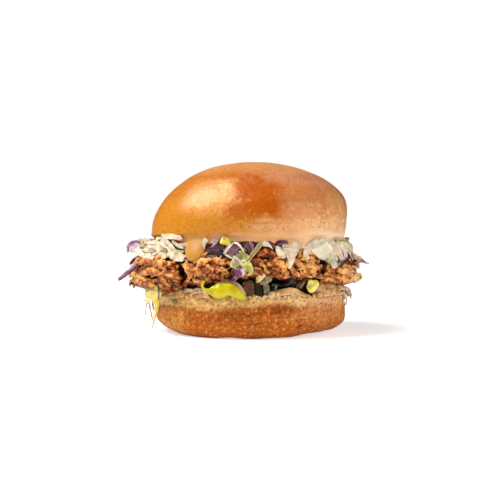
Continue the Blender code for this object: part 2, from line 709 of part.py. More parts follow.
def make_bed(shown, parts, cutters, dice):
    """Shredded lettuce and cabbage under the fillet: a core with the shreds that hang out of it."""

    def bottom(x, y):
        return np.full_like(x, HEEL_HEIGHT + 1.5 * GAP)

    def top(x, y):
        return fillet_bottom(x) - 3 * GAP

    core = slab("lettuce_bed", 40, 8, bed_outline, bottom, top, 0.8 * MM, shown)
    for angles, low, width, out in HUNG_SHREDS:
        hung_shred(parts, angles, low, width, out=out)
    count, first, last = 8, 102, 252
    for i in range(count):
        start = first + (last - first) * (i + dice.uniform(-0.3, 0.3)) / (count - 1)
        angles = (start, start + dice.uniform(-16, 16))
        low, width = dice.uniform(13, 19), dice.uniform(2.2, 5.5)
        hung_shred(parts, angles, low, width, out=dice.uniform(1.2, 2.4))
    laid_leaf(parts, MIDDLE_LEAF, 5.4)
    laid_leaf(parts, RIGHT_LEAF, 4.4)
    laid_leaf(parts, LEFT_LEAF, 3.2)
    boolean(core, "UNION", parts)
    make_fillet_form("fillet_clearance", 40, 8, 2 * GAP, cutters)
    make_heel(cutters, grow=GAP, steps=36, name="heel_clearance")
    for name, place in PICKLES.items():
        make_pickle(name + "_clearance", *place, cutters, grow=2 * GAP)
    make_pepper("long_clearance", LONG_PEPPER, cutters, grow=2 * GAP)
    make_pepper("short_clearance", SHORT_PEPPER, cutters, grow=2 * GAP)
    return boolean(core, "DIFFERENCE", cutters)


# The burger -------------------------------------------------------------------------------------


def main():
    clear_scene()
    burger = new_collection("chicken_burger")
    parts = new_collection("to_join", shown=False)
    cutters = new_collection("cutters", shown=False)
    dice = random.Random(7)

    food_material(make_heel(burger), "bun_crust", "#B9692F", 0.8)
    food_material(make_crown(burger), "glazed_crust", "#D5822F", 0.3)
    food_material(make_fillet(burger), "fried_coating", "#A8683A", 0.6)
    food_material(make_sauce(burger, parts, cutters), "sauce", "#F0B065", 0.3)
    food_material(make_slaw(burger, parts, cutters, dice), "cabbage", "#E6DAC2", 0.4)
    for name, place in PICKLES.items():
        food_material(make_pickle(name, *place, burger), name + "_skin", "#6B6A22", 0.3)
    food_material(make_pepper("pepper_long", LONG_PEPPER, burger), "yellow_pepper", "#DCC81E", 0.25)
    food_material(make_pepper("pepper_short", SHORT_PEPPER, burger), "pale_pepper", "#DFCB55", 0.3)
    food_material(make_bed(burger, parts, cutters, dice), "lettuce", "#D6D08A", 0.4)
    for spare in (parts, cutters):
        bpy.data.collections.remove(spare)


if __name__ == "__main__":
    main()
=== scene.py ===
"""The looks of a fried chicken burger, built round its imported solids.

Lengths are in millimetres and become metres when a mesh is made. Angles go round the burger from
the side that shows: 0 is the front (-Y), 90 is +X, -90 is -X and 180 is the back.
"""

import math

import bpy
import numpy as np
from mathutils import Matrix


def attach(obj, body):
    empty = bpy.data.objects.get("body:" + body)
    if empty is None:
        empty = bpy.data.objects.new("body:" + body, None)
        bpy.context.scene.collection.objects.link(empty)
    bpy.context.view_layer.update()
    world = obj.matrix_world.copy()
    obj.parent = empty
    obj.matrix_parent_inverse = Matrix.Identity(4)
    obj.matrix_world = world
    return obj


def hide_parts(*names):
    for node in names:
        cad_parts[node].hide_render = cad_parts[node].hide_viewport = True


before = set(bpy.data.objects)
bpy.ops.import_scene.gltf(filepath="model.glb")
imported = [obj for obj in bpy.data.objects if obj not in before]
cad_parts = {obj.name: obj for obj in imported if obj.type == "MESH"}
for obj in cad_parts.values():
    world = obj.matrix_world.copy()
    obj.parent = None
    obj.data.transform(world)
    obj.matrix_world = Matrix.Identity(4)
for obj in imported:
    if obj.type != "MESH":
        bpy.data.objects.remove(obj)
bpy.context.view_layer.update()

MM = 0.001

# Sizes that the solids have too
HEEL_RADIUS, HEEL_HEIGHT = 51.2, 21.5
HEEL_FOOT = 44.0  # radius of the flat that it stands on
HEEL_ROUND = 2.2  # round of its top edge
CROWN_RADIUS, CROWN_TOP = 53.6, 91.7
CROWN_BASE = 49.9  # height of its cut face
CROWN_BELLY = 59.5  # height where it is widest
CROWN_RIM = 47.8  # radius of its cut face
CROWN_LEAN = 5.0  # its belly is this much higher at +X and lower at -X
CROWN_PEAK_SHIFT = 2.2  # its dome leans this far to +X
FILLET_LEFT, FILLET_RIGHT, FILLET_FRONT, FILLET_BACK = 65.6, 59.4, 52.4, 54.0
FILLET_TOP, FILLET_TOP_LEFT, FILLET_TOP_RIGHT = 42.6, 40.0, 37.0  # heights of its upper side
FILLET_ARCH, FILLET_UNDER_LEFT, FILLET_UNDER_RIGHT = 29.4, 23.2, 25.6  # heights of its underside
FILLET_EDGE = 7.5  # how far in its side is rounded
# Angle and share of the radius of each notch between two of its lobes
FILLET_NOTCHES = ((-38, 0.05), (-6, 0.035), (40, 0.045), (100, 0.05), (158, 0.06), (-140, 0.05))
SLAW_RADIUS = 50.0
SLAW_SPILL = 7.5  # how far it spills out over the fillet's left end
SAUCE_RADIUS, SAUCE_BOTTOM = 50.9, 48.3
BED_RADIUS = 46.5


# Numbers and noise ------------------------------------------------------------------------------

GRADIENTS = np.array(
    [(x, y, z) for x in (-1, 0, 1) for y in (-1, 0, 1) for z in (-1, 0, 1) if abs(x) + abs(y) + abs(z) == 2]
    + [(1, 1, 0), (-1, 1, 0), (0, -1, 1), (0, -1, -1)],
    float,
)


def smoothstep(low, high, value):
    """0 below low, 1 above high, and t*t*(3-2t) between."""
    t = np.clip((value - low) / (high - low), 0.0, 1.0)
    return t * t * (3.0 - 2.0 * t)


def mix(a, b, share):
    """a where share is 0 and b where it is 1; share is an array, and a and b may be colours."""
    return a + (b - a) * share


def degrees_off(angle, centre):
    """How far round the burger an angle is from a centre, -180 to 180."""
    return (angle - centre + 180.0) % 360.0 - 180.0


def bump(angle, centre, spread):
    """A bell of height 1 round the burger at centre: exp of minus the squared offset over spread."""
    return np.exp(-((degrees_off(angle, centre) / spread) ** 2))


def angle_of(points):
    """Each point's angle round the burger, in degrees."""
    return np.degrees(np.arctan2(points[..., 0], -points[..., 1]))


def polar(angle, radius, z):
    """The point at an angle in degrees, a radius and a height."""
    a = np.radians(angle)
    return np.stack(np.broadcast_arrays(radius * np.sin(a), -radius * np.cos(a), z), axis=-1)


def hashed(cell, seed):
    """A repeatable whole number for each cell: its coordinates times primes, mixed by xor."""
    mixed = cell[..., 0] * 73856093 ^ cell[..., 1] * 19349663 ^ cell[..., 2] * 83492791 ^ seed * 2654435
    mixed = ((mixed ^ (mixed >> 15)) & 0x7FFFFFFF) * 224682251
    mixed = ((mixed ^ (mixed >> 13)) & 0x7FFFFFFF) * 326648991
    return (mixed ^ (mixed >> 16)) & 0x7FFFFFFF


def noise(points, seed=0):
    """Gradient noise, about -1 to 1, one lump to a unit: each lattice corner has a slope, and the
    eight slopes round a point are blended with weights 6t^5-15t^4+10t^3."""
    cell = np.floor(points).astype(np.int64)
    part = points - cell
    fade = part**3 * (part * (part * 6.0 - 15.0) + 10.0)
    total = np.zeros(points.shape[:-1])
    for corner in np.ndindex(2, 2, 2):
        corner = np.array(corner)
        slope = GRADIENTS[hashed(cell + corner, seed) & 15]
        weight = np.where(corner, fade, 1.0 - fade).prod(axis=-1)
        total += weight * (slope * (part - corner)).sum(axis=-1)
    return total


def knobs(points, seed=0):
    """Packed round knobs, 1 at the middle of each and 0 in the creases: one less 1.4 times the
    squared distance to the nearest of a set of scattered points, one of them in each unit cell."""
    cell = np.floor(points).astype(np.int64)
    nearest = np.full(points.shape[:-1], 9.0)
    for near in np.ndindex(3, 3, 3):
        at = cell + np.array(near) - 1
        mixed = hashed(at, seed)
        seat = np.stack([mixed & 1023, (mixed >> 10) & 1023, (mixed >> 20) & 1023], axis=-1) / 1023.0
        nearest = np.minimum(nearest, ((at + seat - points) ** 2).sum(axis=-1))
    return np.clip(1.0 - 1.4 * nearest, 0.0, 1.0)


def warped(points, size, amount, seed):
    """The points moved by smooth noise: lumps of the given size, by up to amount each way."""
    shift = [noise(points / size + 17.3 * k, seed + k) for k in range(3)]
    return points + amount * np.stack(shift, axis=-1)


def blurred(field, rows, columns):
    """A field on a grid whose columns join up, averaged twice over a window that reaches so many
    rows and columns each way."""
    for _ in range(2):
        for axis, reach, mode in ((0, rows, "edge"), (1, columns, "wrap")):
            pad = [(0, 0), (0, 0)]
            pad[axis] = (reach + 1, reach)
            total = np.moveaxis(np.cumsum(np.pad(field, pad, mode), axis=axis), axis, 0)
            size = 2 * reach + 1
            field = np.moveaxis((total[size:] - total[:-size]) / size, 0, axis)
    return field


def colour(code):
    """An sRGB hex colour as linear red, green, blue and alpha."""
    channels = np.array([int(code[i : i + 2], 16) / 255 for i in (1, 3, 5)])
    linear = np.where(channels <= 0.04045, channels / 12.92, ((channels + 0.055) / 1.055) ** 2.4)
    return np.append(linear, 1.0)


# Meshes -----------------------------------------------------------------------------------------


def unit(vectors):
    """The vectors, each made 1 long."""
    return vectors / np.maximum(np.linalg.norm(vectors, axis=-1, keepdims=True), 1e-9)


def normals_of(grid):
    """Outward directions of a (rows, columns) grid whose columns join up: the cross product of its
    two slopes."""
    padded = np.concatenate([grid[:, -1:], grid, grid[:, :1]], axis=1)
    return unit(np.cross(np.gradient(grid, axis=0), padded[:, 2:] - padded[:, :-2]))


def ring_faces(rows, columns):
    """Quads of a grid whose columns join up, and triangles that close it to one point at each end."""
    i = np.arange(rows - 1)[:, None] * columns
    j = np.arange(columns)[None]
    k = (j + 1) % columns
    quads = np.stack([i + j, i + columns + j, i + columns + k, i + k], axis=-1).reshape(-1, 4)
    first, last = rows * columns, rows * columns + 1
    end = (rows - 1) * columns
    j, k = j[0], k[0]
    top = np.stack([np.full_like(j, first), j, k], axis=-1)
    bottom = np.stack([np.full_like(j, last), end + k, end + j], axis=-1)
    return quads, np.concatenate([top, bottom])


def put_mesh(name, points, quads, triangles, material, tints):
    """Makes an object of points in mm and faces, turned outwards as a whole where their signed
    volume is negative, with each point's colour in the attribute that the materials read."""
    a, b, c, d = (points[quads[:, i]] for i in range(4))
    volume = (np.cross(a, b) * c).sum() + (np.cross(a, c) * d).sum()
    a, b, c = (points[triangles[:, i]] for i in range(3))
    volume += (np.cross(a, b) * c).sum()
    if volume < 0:
        quads, triangles = quads[:, ::-1], triangles[:, ::-1]
    mesh = bpy.data.meshes.new(name)
    mesh.from_pydata((points * MM).tolist(), [], quads.tolist() + triangles.tolist())
    mesh.validate()
    tint = mesh.attributes.new("tint", "FLOAT_COLOR", "POINT")
    tint.data.foreach_set("color", tints.astype(np.float32).ravel())
    mesh.shade_smooth()
    obj = bpy.data.objects.new(name, mesh)
    bpy.context.scene.collection.objects.link(obj)
    mesh.materials.append(material)
    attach(obj, "root")
    return obj


def many_pieces(name, grids, material, tints):
    """One mesh of N closed bodies from an (N, rows, columns, 3) array: in each the columns join up,
    and the first and the last row close to the middle of each. tints has a colour for each point."""
    count, rows, columns = grids.shape[:3]

    def closed(values):
        ends = np.stack([values[:, 0].mean(axis=1), values[:, -1].mean(axis=1)], axis=1)
        both = np.concatenate([values.reshape(count, rows * columns, -1), ends], axis=1)
        return both.reshape(-1, values.shape[-1])

    quads, triangles = ring_faces(rows, columns)
    step = (np.arange(count) * (rows * columns + 2))[:, None, None]
    quads, triangles = (quads + step).reshape(-1, 4), (triangles + step).reshape(-1, 3)
    return put_mesh(name, closed(grids), quads, triangles, material, closed(tints))


def closed_piece(name, grid, material, tint):
    """One closed body from a (rows, columns, 3) grid, as in many_pieces."""
    return many_pieces(name, grid[None], material, tint[None])


def smooth_paths(knots, steps):
    """Catmull-Rom curves through the knots: (N, K, ...) in, (N, steps, ...) out."""
    before, after = 2 * knots[:, :1] - knots[:, 1:2], 2 * knots[:, -1:] - knots[:, -2:-1]
    padded = np.concatenate([before, knots, after], axis=1)
    along = np.linspace(0.0, knots.shape[1] - 1 - 1e-9, steps)
    i = along.astype(int)
    t = (along - i).reshape((1, -1) + (1,) * (knots.ndim - 2))
    a, b, c, d = (padded[:, i + k] for k in range(4))
    return 0.5 * (2 * b + (c - a) * t + (2 * a - 5 * b + 4 * c - d) * t**2 + (3 * b - a - 3 * c + d) * t**3)


def strips(paths, width, thickness, cup, twist, ruffle, blunt, columns, seed):
    """Flat tubes along (N, rows, 3) paths: at each point an ellipse as wide as width and as thick as
    thickness, whose flat side faces away from the burger's axis and is turned by twist. cup bends
    it along a parabola across, and ruffle waves its edges. The width closes at both ends as
    (1-|2s-1|^blunt)^0.5. Returns the points and the coordinates across, -1 to 1, and along, 0 to 1."""
    count, rows = paths.shape[:2]
    s = np.linspace(0.0, 1.0, rows)

    def each(value):
        value = np.asarray(value, float)
        return value[:, None] if value.ndim == 1 else value

    run = unit(np.gradient(paths, axis=1))
    outward = unit(paths * [1.0, 1.0, 0.0])
    along = np.abs((run * outward).sum(axis=-1, keepdims=True))
    outward = outward + np.array([0.0, 0.0, 1.5]) * along
    side = unit(np.cross(run, outward))
    face = np.cross(side, run)
    turn = np.broadcast_to(each(twist), (count, rows))[..., None]
    side, face = side * np.cos(turn) + face * np.sin(turn), face * np.cos(turn) - side * np.sin(turn)
    ends = np.sqrt(np.clip(1.0 - np.abs(2 * s - 1) ** blunt, 0.0, 1.0)) * 0.98 + 0.02
    half = np.broadcast_to(each(width), (count, rows)) * ends / 2
    thick = np.broadcast_to(each(thickness), (count, rows)) * ends**0.6 / 2
    phi = np.linspace(0.0, 2 * math.pi, columns, endpoint=False)
    u = np.broadcast_to(np.cos(phi), (count, rows, columns))
    v = np.broadcast_to(np.sin(phi), (count, rows, columns))
    wave = noise(np.stack(np.broadcast_arrays(s * 7.0, np.arange(count)[:, None] * 3.7, 0.5), axis=-1), seed)
    lift = each(cup)[..., None] * (u**2 - 0.4) * half[..., None] * 2
    lift = lift + each(ruffle)[..., None] * wave[..., None] * u * 2
    across = side[:, :, None] * (u * half[..., None])[..., None]
    through = face[:, :, None] * (v * thick[..., None] + lift)[..., None]
    grid = paths[:, :, None] + across + through
    return grid, u, np.broadcast_to(s[None, :, None], u.shape)


# Shapes shared with the solids ------------------------------------------------------------------


def fillet_outline(angle):
    """The fillet's radius from above: four quarter ellipses, notched where its lobes meet."""
    a = np.radians(angle)
    across = np.where(np.sin(a) < 0, FILLET_LEFT, FILLET_RIGHT)
    along = np.where(np.cos(a) > 0, FILLET_FRONT, FILLET_BACK)
    radius = 1.0 / np.sqrt((np.sin(a) / across) ** 2 + (np.cos(a) / along) ** 2)
    for centre, depth in FILLET_NOTCHES:
        radius = radius * (1.0 - depth * bump(angle, centre, 5.0))
    return radius


def fillet_top(x):
    """Height of the fillet's upper side, which falls away at both ends."""
    left = (FILLET_TOP - FILLET_TOP_LEFT) * smoothstep(26, 60, -x)
    right = (FILLET_TOP - FILLET_TOP_RIGHT) * smoothstep(20, 54, x)
    return FILLET_TOP - left - right


def fillet_bottom(x):
    """Height of the fillet's underside, arched over the bed and lower at both ends."""
    left = (FILLET_ARCH - FILLET_UNDER_LEFT) * smoothstep(6, 44, -x)
    right = (FILLET_ARCH - FILLET_UNDER_RIGHT) * smoothstep(28, 50, x)
    return FILLET_ARCH - left - right


def fillet_reach(angle, z):
    """The fillet's radius at a height: its outline less its edge's quarter ellipse."""
    outline = fillet_outline(angle)
    x = outline * np.sin(np.radians(angle))
    middle, half = (fillet_top(x) + fillet_bottom(x)) / 2, (fillet_top(x) - fillet_bottom(x)) / 2
    level = np.clip(np.abs(z - middle) / half, 0.0, 1.0)
    return outline - FILLET_EDGE * (1.0 - np.sqrt(1.0 - level**2))


def crown_reach(z):
    """The crown's radius at a height: a quarter ellipse above its belly and another below it."""
    above = np.clip((z - CROWN_BELLY) / (CROWN_TOP - CROWN_BELLY), 0.0, 1.0)
    below = np.clip((CROWN_BELLY - z) / (CROWN_BELLY - CROWN_BASE), 0.0, 1.0)
    under = CROWN_RIM + (CROWN_RADIUS - CROWN_RIM) * np.sqrt(1.0 - below**2)
    return np.where(z > CROWN_BELLY, CROWN_RADIUS * np.sqrt(1.0 - above**2), under)


def slaw_spill(angle):
    """1 where the slaw spills out over the fillet's left end, fading to 0 round the burger."""
    return bump(angle, -84, 27)


def cover(angle, z):
    """The radius of whatever is outermost at an angle and a height in mm: the heel up to 23, the
    fillet to 41, that or the slaw to 50, then the crown, with the sauce over it up to 53."""
    fillet = fillet_reach(angle, z)
    slaw = SLAW_RADIUS + SLAW_SPILL * slaw_spill(angle)
    high = np.maximum(crown_reach(z), np.where(z < 53, SAUCE_RADIUS, 0.0))
    radius = np.where(z > 50, high, np.where(z > 41, np.maximum(slaw, fillet), fillet))
    return np.where(z < 23, HEEL_RADIUS, radius)


def laid(angle, z, off):
    """Points lying off the cover by off. The radius is averaged over nearby heights, so that a
    strip laid over a step bends over it."""
    near = np.stack([cover(angle, z + dz) for dz in (-2.0, -1.0, 0.0, 1.0, 2.0)])
    return polar(angle, 0.5 * near.mean(axis=0) + 0.5 * cover(angle, z) + off, z)


def crown_out_of_round(points):
    """The crown as baked: a little lobed, by sines round it, its rim wider at the left, its belly
    higher at the right and its dome leaning to the right."""
    angle = angle_of(points)
    lift = smoothstep(CROWN_BASE, CROWN_BELLY, points[..., 2])
    dome = smoothstep(CROWN_BELLY, CROWN_TOP, points[..., 2])
    side = np.sin(np.radians(angle)) * np.hypot(points[..., 0], points[..., 1]) / CROWN_RADIUS
    lobes = 1.0 + 0.006 * np.cos(np.radians(2 * angle - 30)) + 0.004 * np.sin(np.radians(3 * angle))
    rim = 1.0 + 0.045 * smoothstep(0.2, 0.9, -side) * (1.0 - lift)
    moved = points.copy()
    moved[..., :2] *= (lobes * rim)[..., None]
    moved[..., 0] += CROWN_PEAK_SHIFT * dome
    moved[..., 2] += CROWN_LEAN * side * lift * (1.0 - dome)
    return moved


def heel_out_of_round(points):
    """The heel as baked: a little lobed, by sines round it, drawn in low at both sides, and its
    foot lifted in waves."""
    angle = angle_of(points)
    lobes = 1.0 + 0.007 * np.cos(np.radians(3 * angle + 40)) + 0.005 * np.sin(np.radians(5 * angle))
    low = smoothstep(9.0, 0.5, points[..., 2]) * (0.05 * bump(angle, -70, 38) + 0.045 * bump(angle, 66, 32))
    moved = points.copy()
    moved[..., :2] *= (lobes - low)[..., None]
    wavy = np.clip(noise(polar(angle, 30.0, 0.0) / 9.0, 36) + 0.2, 0.0, 1.0)
    wavy = wavy + 1.3 * bump(angle, 62, 26) + 0.9 * bump(angle, -72, 20)
    outer = smoothstep(25.0, 42.0, np.hypot(points[..., 0], points[..., 1]))
    moved[..., 2] += wavy * outer * smoothstep(7.0, 0.0, points[..., 2])
    return moved


# Materials --------------------------------------------------------------------------------------


def add(tree, kind, settings=(), links=()):
    """Adds a node to a tree, with its settings (property or socket: value) and links (socket: the
    output that feeds it)."""
    made = tree.nodes.new("ShaderNode" + kind)
    for key, value in dict(settings).items():
        if isinstance(key, int) or key in made.inputs:
            made.inputs[key].default_value = value
        else:
            setattr(made, key, value)
    for key, source in dict(links).items():
        tree.links.new(source, made.inputs[key])
    return made


def surface(name, roughness, ior=1.45, **settings):
    """A new material, its node tree, its shader and its place in metres on the burger."""
    material = bpy.data.materials.new(name)
    material.use_nodes = True
    tree = material.node_tree
    shader = tree.nodes["Principled BSDF"]
    shader.inputs["Roughness"].default_value = roughness
    shader.inputs["IOR"].default_value = ior
    for key, value in settings.items():
        shader.inputs[key.replace("_", " ")].default_value = value
    place = add(tree, "TexCoord").outputs["Object"]
    return material, tree, shader, place


def food(name, roughness, ior, speckle, flecks, bumps, **settings):
    """A new material on a piece's own tint, with sizes and heights in mm. Noise of speckle's (size,
    strength, detail) makes the tint lighter and darker. Each of flecks (size, level, strength,
    colour) shows where noise passes its level. Each of bumps is noise of (size, height, detail)."""
    material, tree, shader, place = surface(name, roughness, ior, **settings)
    size, strength, detail = speckle
    grain = add(tree, "TexNoise", {"Scale": 1000.0 / size, "Detail": detail}, {"Vector": place})
    limits = {1: 0.3, 2: 0.7, 3: 1.0 - strength, 4: 1.0 + strength}
    level = add(tree, "MapRange", limits, {0: grain.outputs[0]})
    tint = add(tree, "Attribute", {"attribute_name": "tint"})
    multiply = {"data_type": "RGBA", "blend_type": "MULTIPLY", 0: 1.0}
    base = add(tree, "Mix", multiply, {6: tint.outputs["Color"], 7: level.outputs[0]})
    for size, start, strength, code in flecks:
        grain = add(tree, "TexNoise", {"Scale": 1000.0 / size, "Detail": 2.0}, {"Vector": place})
        limits = {1: start, 2: start + 0.07, 3: 0.0, 4: strength}
        share = add(tree, "MapRange", limits, {0: grain.outputs[0]})
        links = {0: share.outputs[0], 6: base.outputs[2]}
        base = add(tree, "Mix", {"data_type": "RGBA", 7: colour(code)}, links)
    tree.links.new(base.outputs[2], shader.inputs["Base Color"])
    under = {}
    for size, height, detail in bumps:
        grain = add(tree, "TexNoise", {"Scale": 1000.0 / size, "Detail": detail}, {"Vector": place})
        links = {"Height": grain.outputs[0], **under}
        under = {"Normal": add(tree, "Bump", {"Distance": height * MM, "Strength": 1.0}, links).outputs[0]}
    tree.links.new(under["Normal"], shader.inputs["Normal"])
    return material


def make_materials():
    """The burger's finishes."""
    made = {}

    # Brioche crust under an egg wash that baked to a thin glossy skin: soft broad highlights with
    # blotched edges, fine darker and golden freckles
    made["crown"] = food(
        "egg_washed_crust", 0.33, 1.45, (1.2, 0.16, 4.0),
        flecks=((1.7, 0.61, 0.5, "#9A5210"), (2.1, 0.64, 0.5, "#E09A40")),
        bumps=((9.0, 0.6, 2.0), (3.6, 0.4, 3.0), (1.3, 0.12, 2.0)),
        Specular_Tint=colour("#FFE0B0"),
    )

    # The heel's crust, baked dry against the tin: matt, fine grains and open pores; its dark flecks are
    # painted shade in the pores
    made["heel"] = food(
        "dry_baked_crust", 0.7, 1.4, (1.7, 0.34, 4.0),
        flecks=((1.5, 0.6, 0.7, "#5E2608"), (1.9, 0.62, 0.6, "#F0AC5C")),
        bumps=((2.6, 0.6, 3.0), (1.3, 0.4, 2.0)),
        Specular_Tint=colour("#FFD49C"),
    )

    # Double-dredged fried coating: dry crisp ridges; its pale flecks are painted glints, and its dark creases
    # are painted shade in its tint
    made["fried"] = food(
        "fried_coating", 0.36, 1.5, (0.9, 0.22, 3.0),
        flecks=((1.3, 0.62, 0.6, "#FAD090"), (1.9, 0.61, 0.4, "#5A1E04")),
        bumps=((1.8, 0.7, 2.0), (0.7, 0.18, 1.0)),
        Specular_Tint=colour("#FFE2BC"),
    )

    # Mayonnaise sauce with paprika: dense, smooth and wet
    made["sauce"] = food(
        "burger_sauce", 0.42, 1.42, (2.0, 0.04, 3.0), (), ((5.0, 0.15, 2.0),),
        Subsurface_Weight=0.2, Subsurface_Scale=0.002,
    )

    # Cut cabbage under thin dressing: waxy, wet, lets some light through
    made["cabbage"] = food(
        "dressed_cabbage", 0.3, 1.42, (2.2, 0.07, 3.0), (), ((2.2, 0.16, 2.0),),
        Subsurface_Weight=0.2, Subsurface_Scale=0.0015,
    )

    # Shredded lettuce: thin, damp, veined
    made["lettuce"] = food(
        "shredded_lettuce", 0.35, 1.4, (1.8, 0.10, 3.0), (), ((1.8, 0.2, 2.0),),
        Subsurface_Weight=0.2, Subsurface_Scale=0.001,
    )

    # Pickled yellow pepper: taut glossy skin
    made["pepper"] = food(
        "pickled_pepper", 0.18, 1.45, (3.0, 0.08, 3.0), (), ((3.0, 0.2, 2.0),),
        Subsurface_Weight=0.3, Subsurface_Scale=0.002,
    )

    # Pickled cucumber: wet, dark skin, seeded flesh
    made["pickle"] = food("pickled_cucumber", 0.2, 1.42, (1.6, 0.2, 3.0), (), ((1.6, 0.2, 2.0),))
    return made


# The bun ----------------------------------------------------------------------------------------


def make_crown(material):
    """The crown: a quarter ellipse turned about Z for the dome, another for the side under its
    belly and a flat cut face, all out of round. Along its normals it is dented by noise, wrinkled
    low at the right by noise drawn out level, and creased in one place by a bell."""
    angle = np.linspace(-180.0, 180.0, 400, endpoint=False)[None]
    dome = np.radians(np.linspace(89.4, 0, 96, endpoint=False))
    under = np.radians(np.linspace(0, -90, 34))
    flat = np.linspace(CROWN_RIM, 1.0, 8)[1:]
    side = CROWN_RIM + (CROWN_RADIUS - CROWN_RIM) * np.cos(under)
    radius = np.concatenate([CROWN_RADIUS * np.cos(dome), side, flat])
    z = np.concatenate([
        CROWN_BELLY + (CROWN_TOP - CROWN_BELLY) * np.sin(dome),
        CROWN_BELLY + (CROWN_BELLY - CROWN_BASE) * np.sin(under),
        np.full(len(flat), CROWN_BASE),
    ])
    grid = crown_out_of_round(polar(angle, radius[:, None], z[:, None]))
    out = normals_of(grid)
    around = angle_of(grid)
    height = grid[..., 2]
    shown = smoothstep(50.0, 54.0, height)
    low = 1.0 - smoothstep(56.0, 70.0, height)
    dents = 0.55 * noise(grid / 26.0, 11) + 0.16 * noise(grid / 9.0, 12)
    wrinkle = noise(grid / [9.0, 9.0, 1.9], 13) * low * (0.25 + bump(around, 50, 45)) * 0.22
    crease = -0.9 * bump(around, 28.5, 1.6) * (1.0 - smoothstep(50.0, 55.0, height))
    depth = (dents + wrinkle) * shown + crease
    grid = grid + out * depth[..., None]
    return closed_piece("crown_of_the_bun", grid, material, crown_tint(grid))


def patched(points, tint, patches, seed):
    """A tint with baked patches over it: (colour, angle, height, half width in degrees, half height
    in mm, softness, strength), each a rounded box whose edge noise makes ragged."""
    angle, height = angle_of(points), points[..., 2]
    ragged = [0.36 * noise(points / 8.0, seed + k) + 0.12 * noise(points / 2.0, seed + 2 + k) for k in (0, 1)]
    for code, centre, level, wide, tall, soft, strength in patches:
        across = np.abs(degrees_off(angle, centre) / wide + ragged[0])
        rise = np.abs((height - level) / tall + ragged[1])
        share = strength * smoothstep(1.0 + soft, 1.0 - soft, (across**3 + rise**3) ** (1 / 3))
        tint = mix(tint, colour(code), share[..., None])
    return tint


# The crust from the front: golden at the left, deep orange in the middle, pinkish tan at the right, with a
# painted highlight up at the left
CROWN_PATCHES = (
    ("#CA7E16", -51.3, 58.5, 20.9, 9.8, 0.4, 0.8),
    ("#C67E1E", -35.3, 57.3, 18.2, 4.41, 0.4, 0.7),
    # Paler gold where the highlight falls, partly the crust's own colour and partly painted highlight, then
    # two paler cores that are painted highlight
    ("#E29A56", -23.4, 71.1, 19.3, 8.33, 0.5, 0.8),
    ("#EEBA88", -35.4, 70.9, 9, 4.41, 0.7, 0.35),
    ("#EAB878", -14.8, 77.2, 6, 2.94, 0.7, 0.4),
    ("#B65406", 6.6, 72.6, 16.2, 11.6, 0.35, 1),
    ("#B45804", -5.2, 62.5, 9.5, 4.41, 0.5, 0.9),
    ("#CA7C20", -11.6, 57.1, 13, 3.43, 0.5, 0.8),
    ("#C87C48", 31.3, 69.7, 13.9, 13.2, 0.4, 0.9),
    ("#CE8C66", 57.1, 81.8, 51.9, 4.9, 0.4, 0.7),
    ("#C07050", 42.8, 81.8, 13.5, 1.71, 0.7, 0.5),
    ("#C07050", 57.7, 75.3, 14.4, 1.71, 0.7, 0.5),
    ("#D89C62", 57.6, 63.7, 11.5, 11.8, 0.4, 0.6),
    ("#E0AA78", 43, 55.8, 19.8, 4.41, 0.4, 0.8),
    ("#DEA070", 16, 56.6, 14.5, 2.94, 0.5, 0.7),
    # A thin darker line across the front: painted shade along a crease
    ("#B4703C", 8, 57.6, 14, 0.6, 0.7, 0.5),
)


def crown_tint(points):
    """The crust's colour: deep orange brown on the dome, paler towards the rim, palest low at the right,
    golden low at the left, in blotches of 4 to 15 mm, and among its patches a painted highlight. Fine
    freckles and flecks, and dark pits of painted shade, are where noise is high, and the thin lines low at
    the right, painted highlights and painted shade of wrinkles, are where it crosses 0."""
    height, angle = points[..., 2], angle_of(points)
    blotch = noise(points / 14.0, 21) + 0.6 * noise(points / 4.5, 22)
    deep, golden, pale, tan = (colour(c) for c in ("#BA5E08", "#CC8426", "#E0A05A", "#CC8250"))
    left = bump(angle, -65, 50)[..., None]
    dome = smoothstep(58.0, 74.0, height + 3.0 * blotch)[..., None] * (1.0 - 0.55 * left)
    right = bump(angle, 60, 55)[..., None]
    low = (1.0 - smoothstep(54.0, 68.0, height + 2.0 * blotch))[..., None]
    tint = mix(golden, deep, dome)
    tint = mix(tint, tan, 0.6 * right)
    tint = mix(tint, pale, low * (0.05 + 0.75 * right))
    tint = patched(points, tint, CROWN_PATCHES, 24)
    tint = mix(tint, colour("#E4A466"), 0.85 * smoothstep(81.0, 90.0, height + 1.5 * blotch)[..., None])
    freckle = smoothstep(0.3, 0.7, noise(points / 1.5, 23))[..., None]
    tint = mix(tint, colour("#9A4A12"), 0.28 * freckle)
    fleck = smoothstep(0.4, 0.75, noise(points / 1.7, 29))[..., None]
    tint = mix(tint, colour("#F2BC74"), 0.3 * fleck)
    # Thin lines low at the right: the pale ones are painted highlights and the dark ones painted shade of
    # wrinkles
    creased = (bump(angle, 55, 24) * smoothstep(74.0, 62.0, height))[..., None]
    moved = warped(points, 6.0, 2.0, 34)
    for seed, size, code in ((35, 4.6, "#F8D49C"), (38, 5.2, "#C07C40")):
        line = 1.0 - smoothstep(0.0, 0.16, np.abs(noise(moved / size, seed)))
        tint = mix(tint, colour(code), 0.5 * line[..., None] * creased)
    # Pits: dark dots of painted shade
    pit = smoothstep(0.72, 0.8, noise(points / 1.6, 33))[..., None]
    return mix(tint, colour("#5A2A10"), 0.6 * pit)


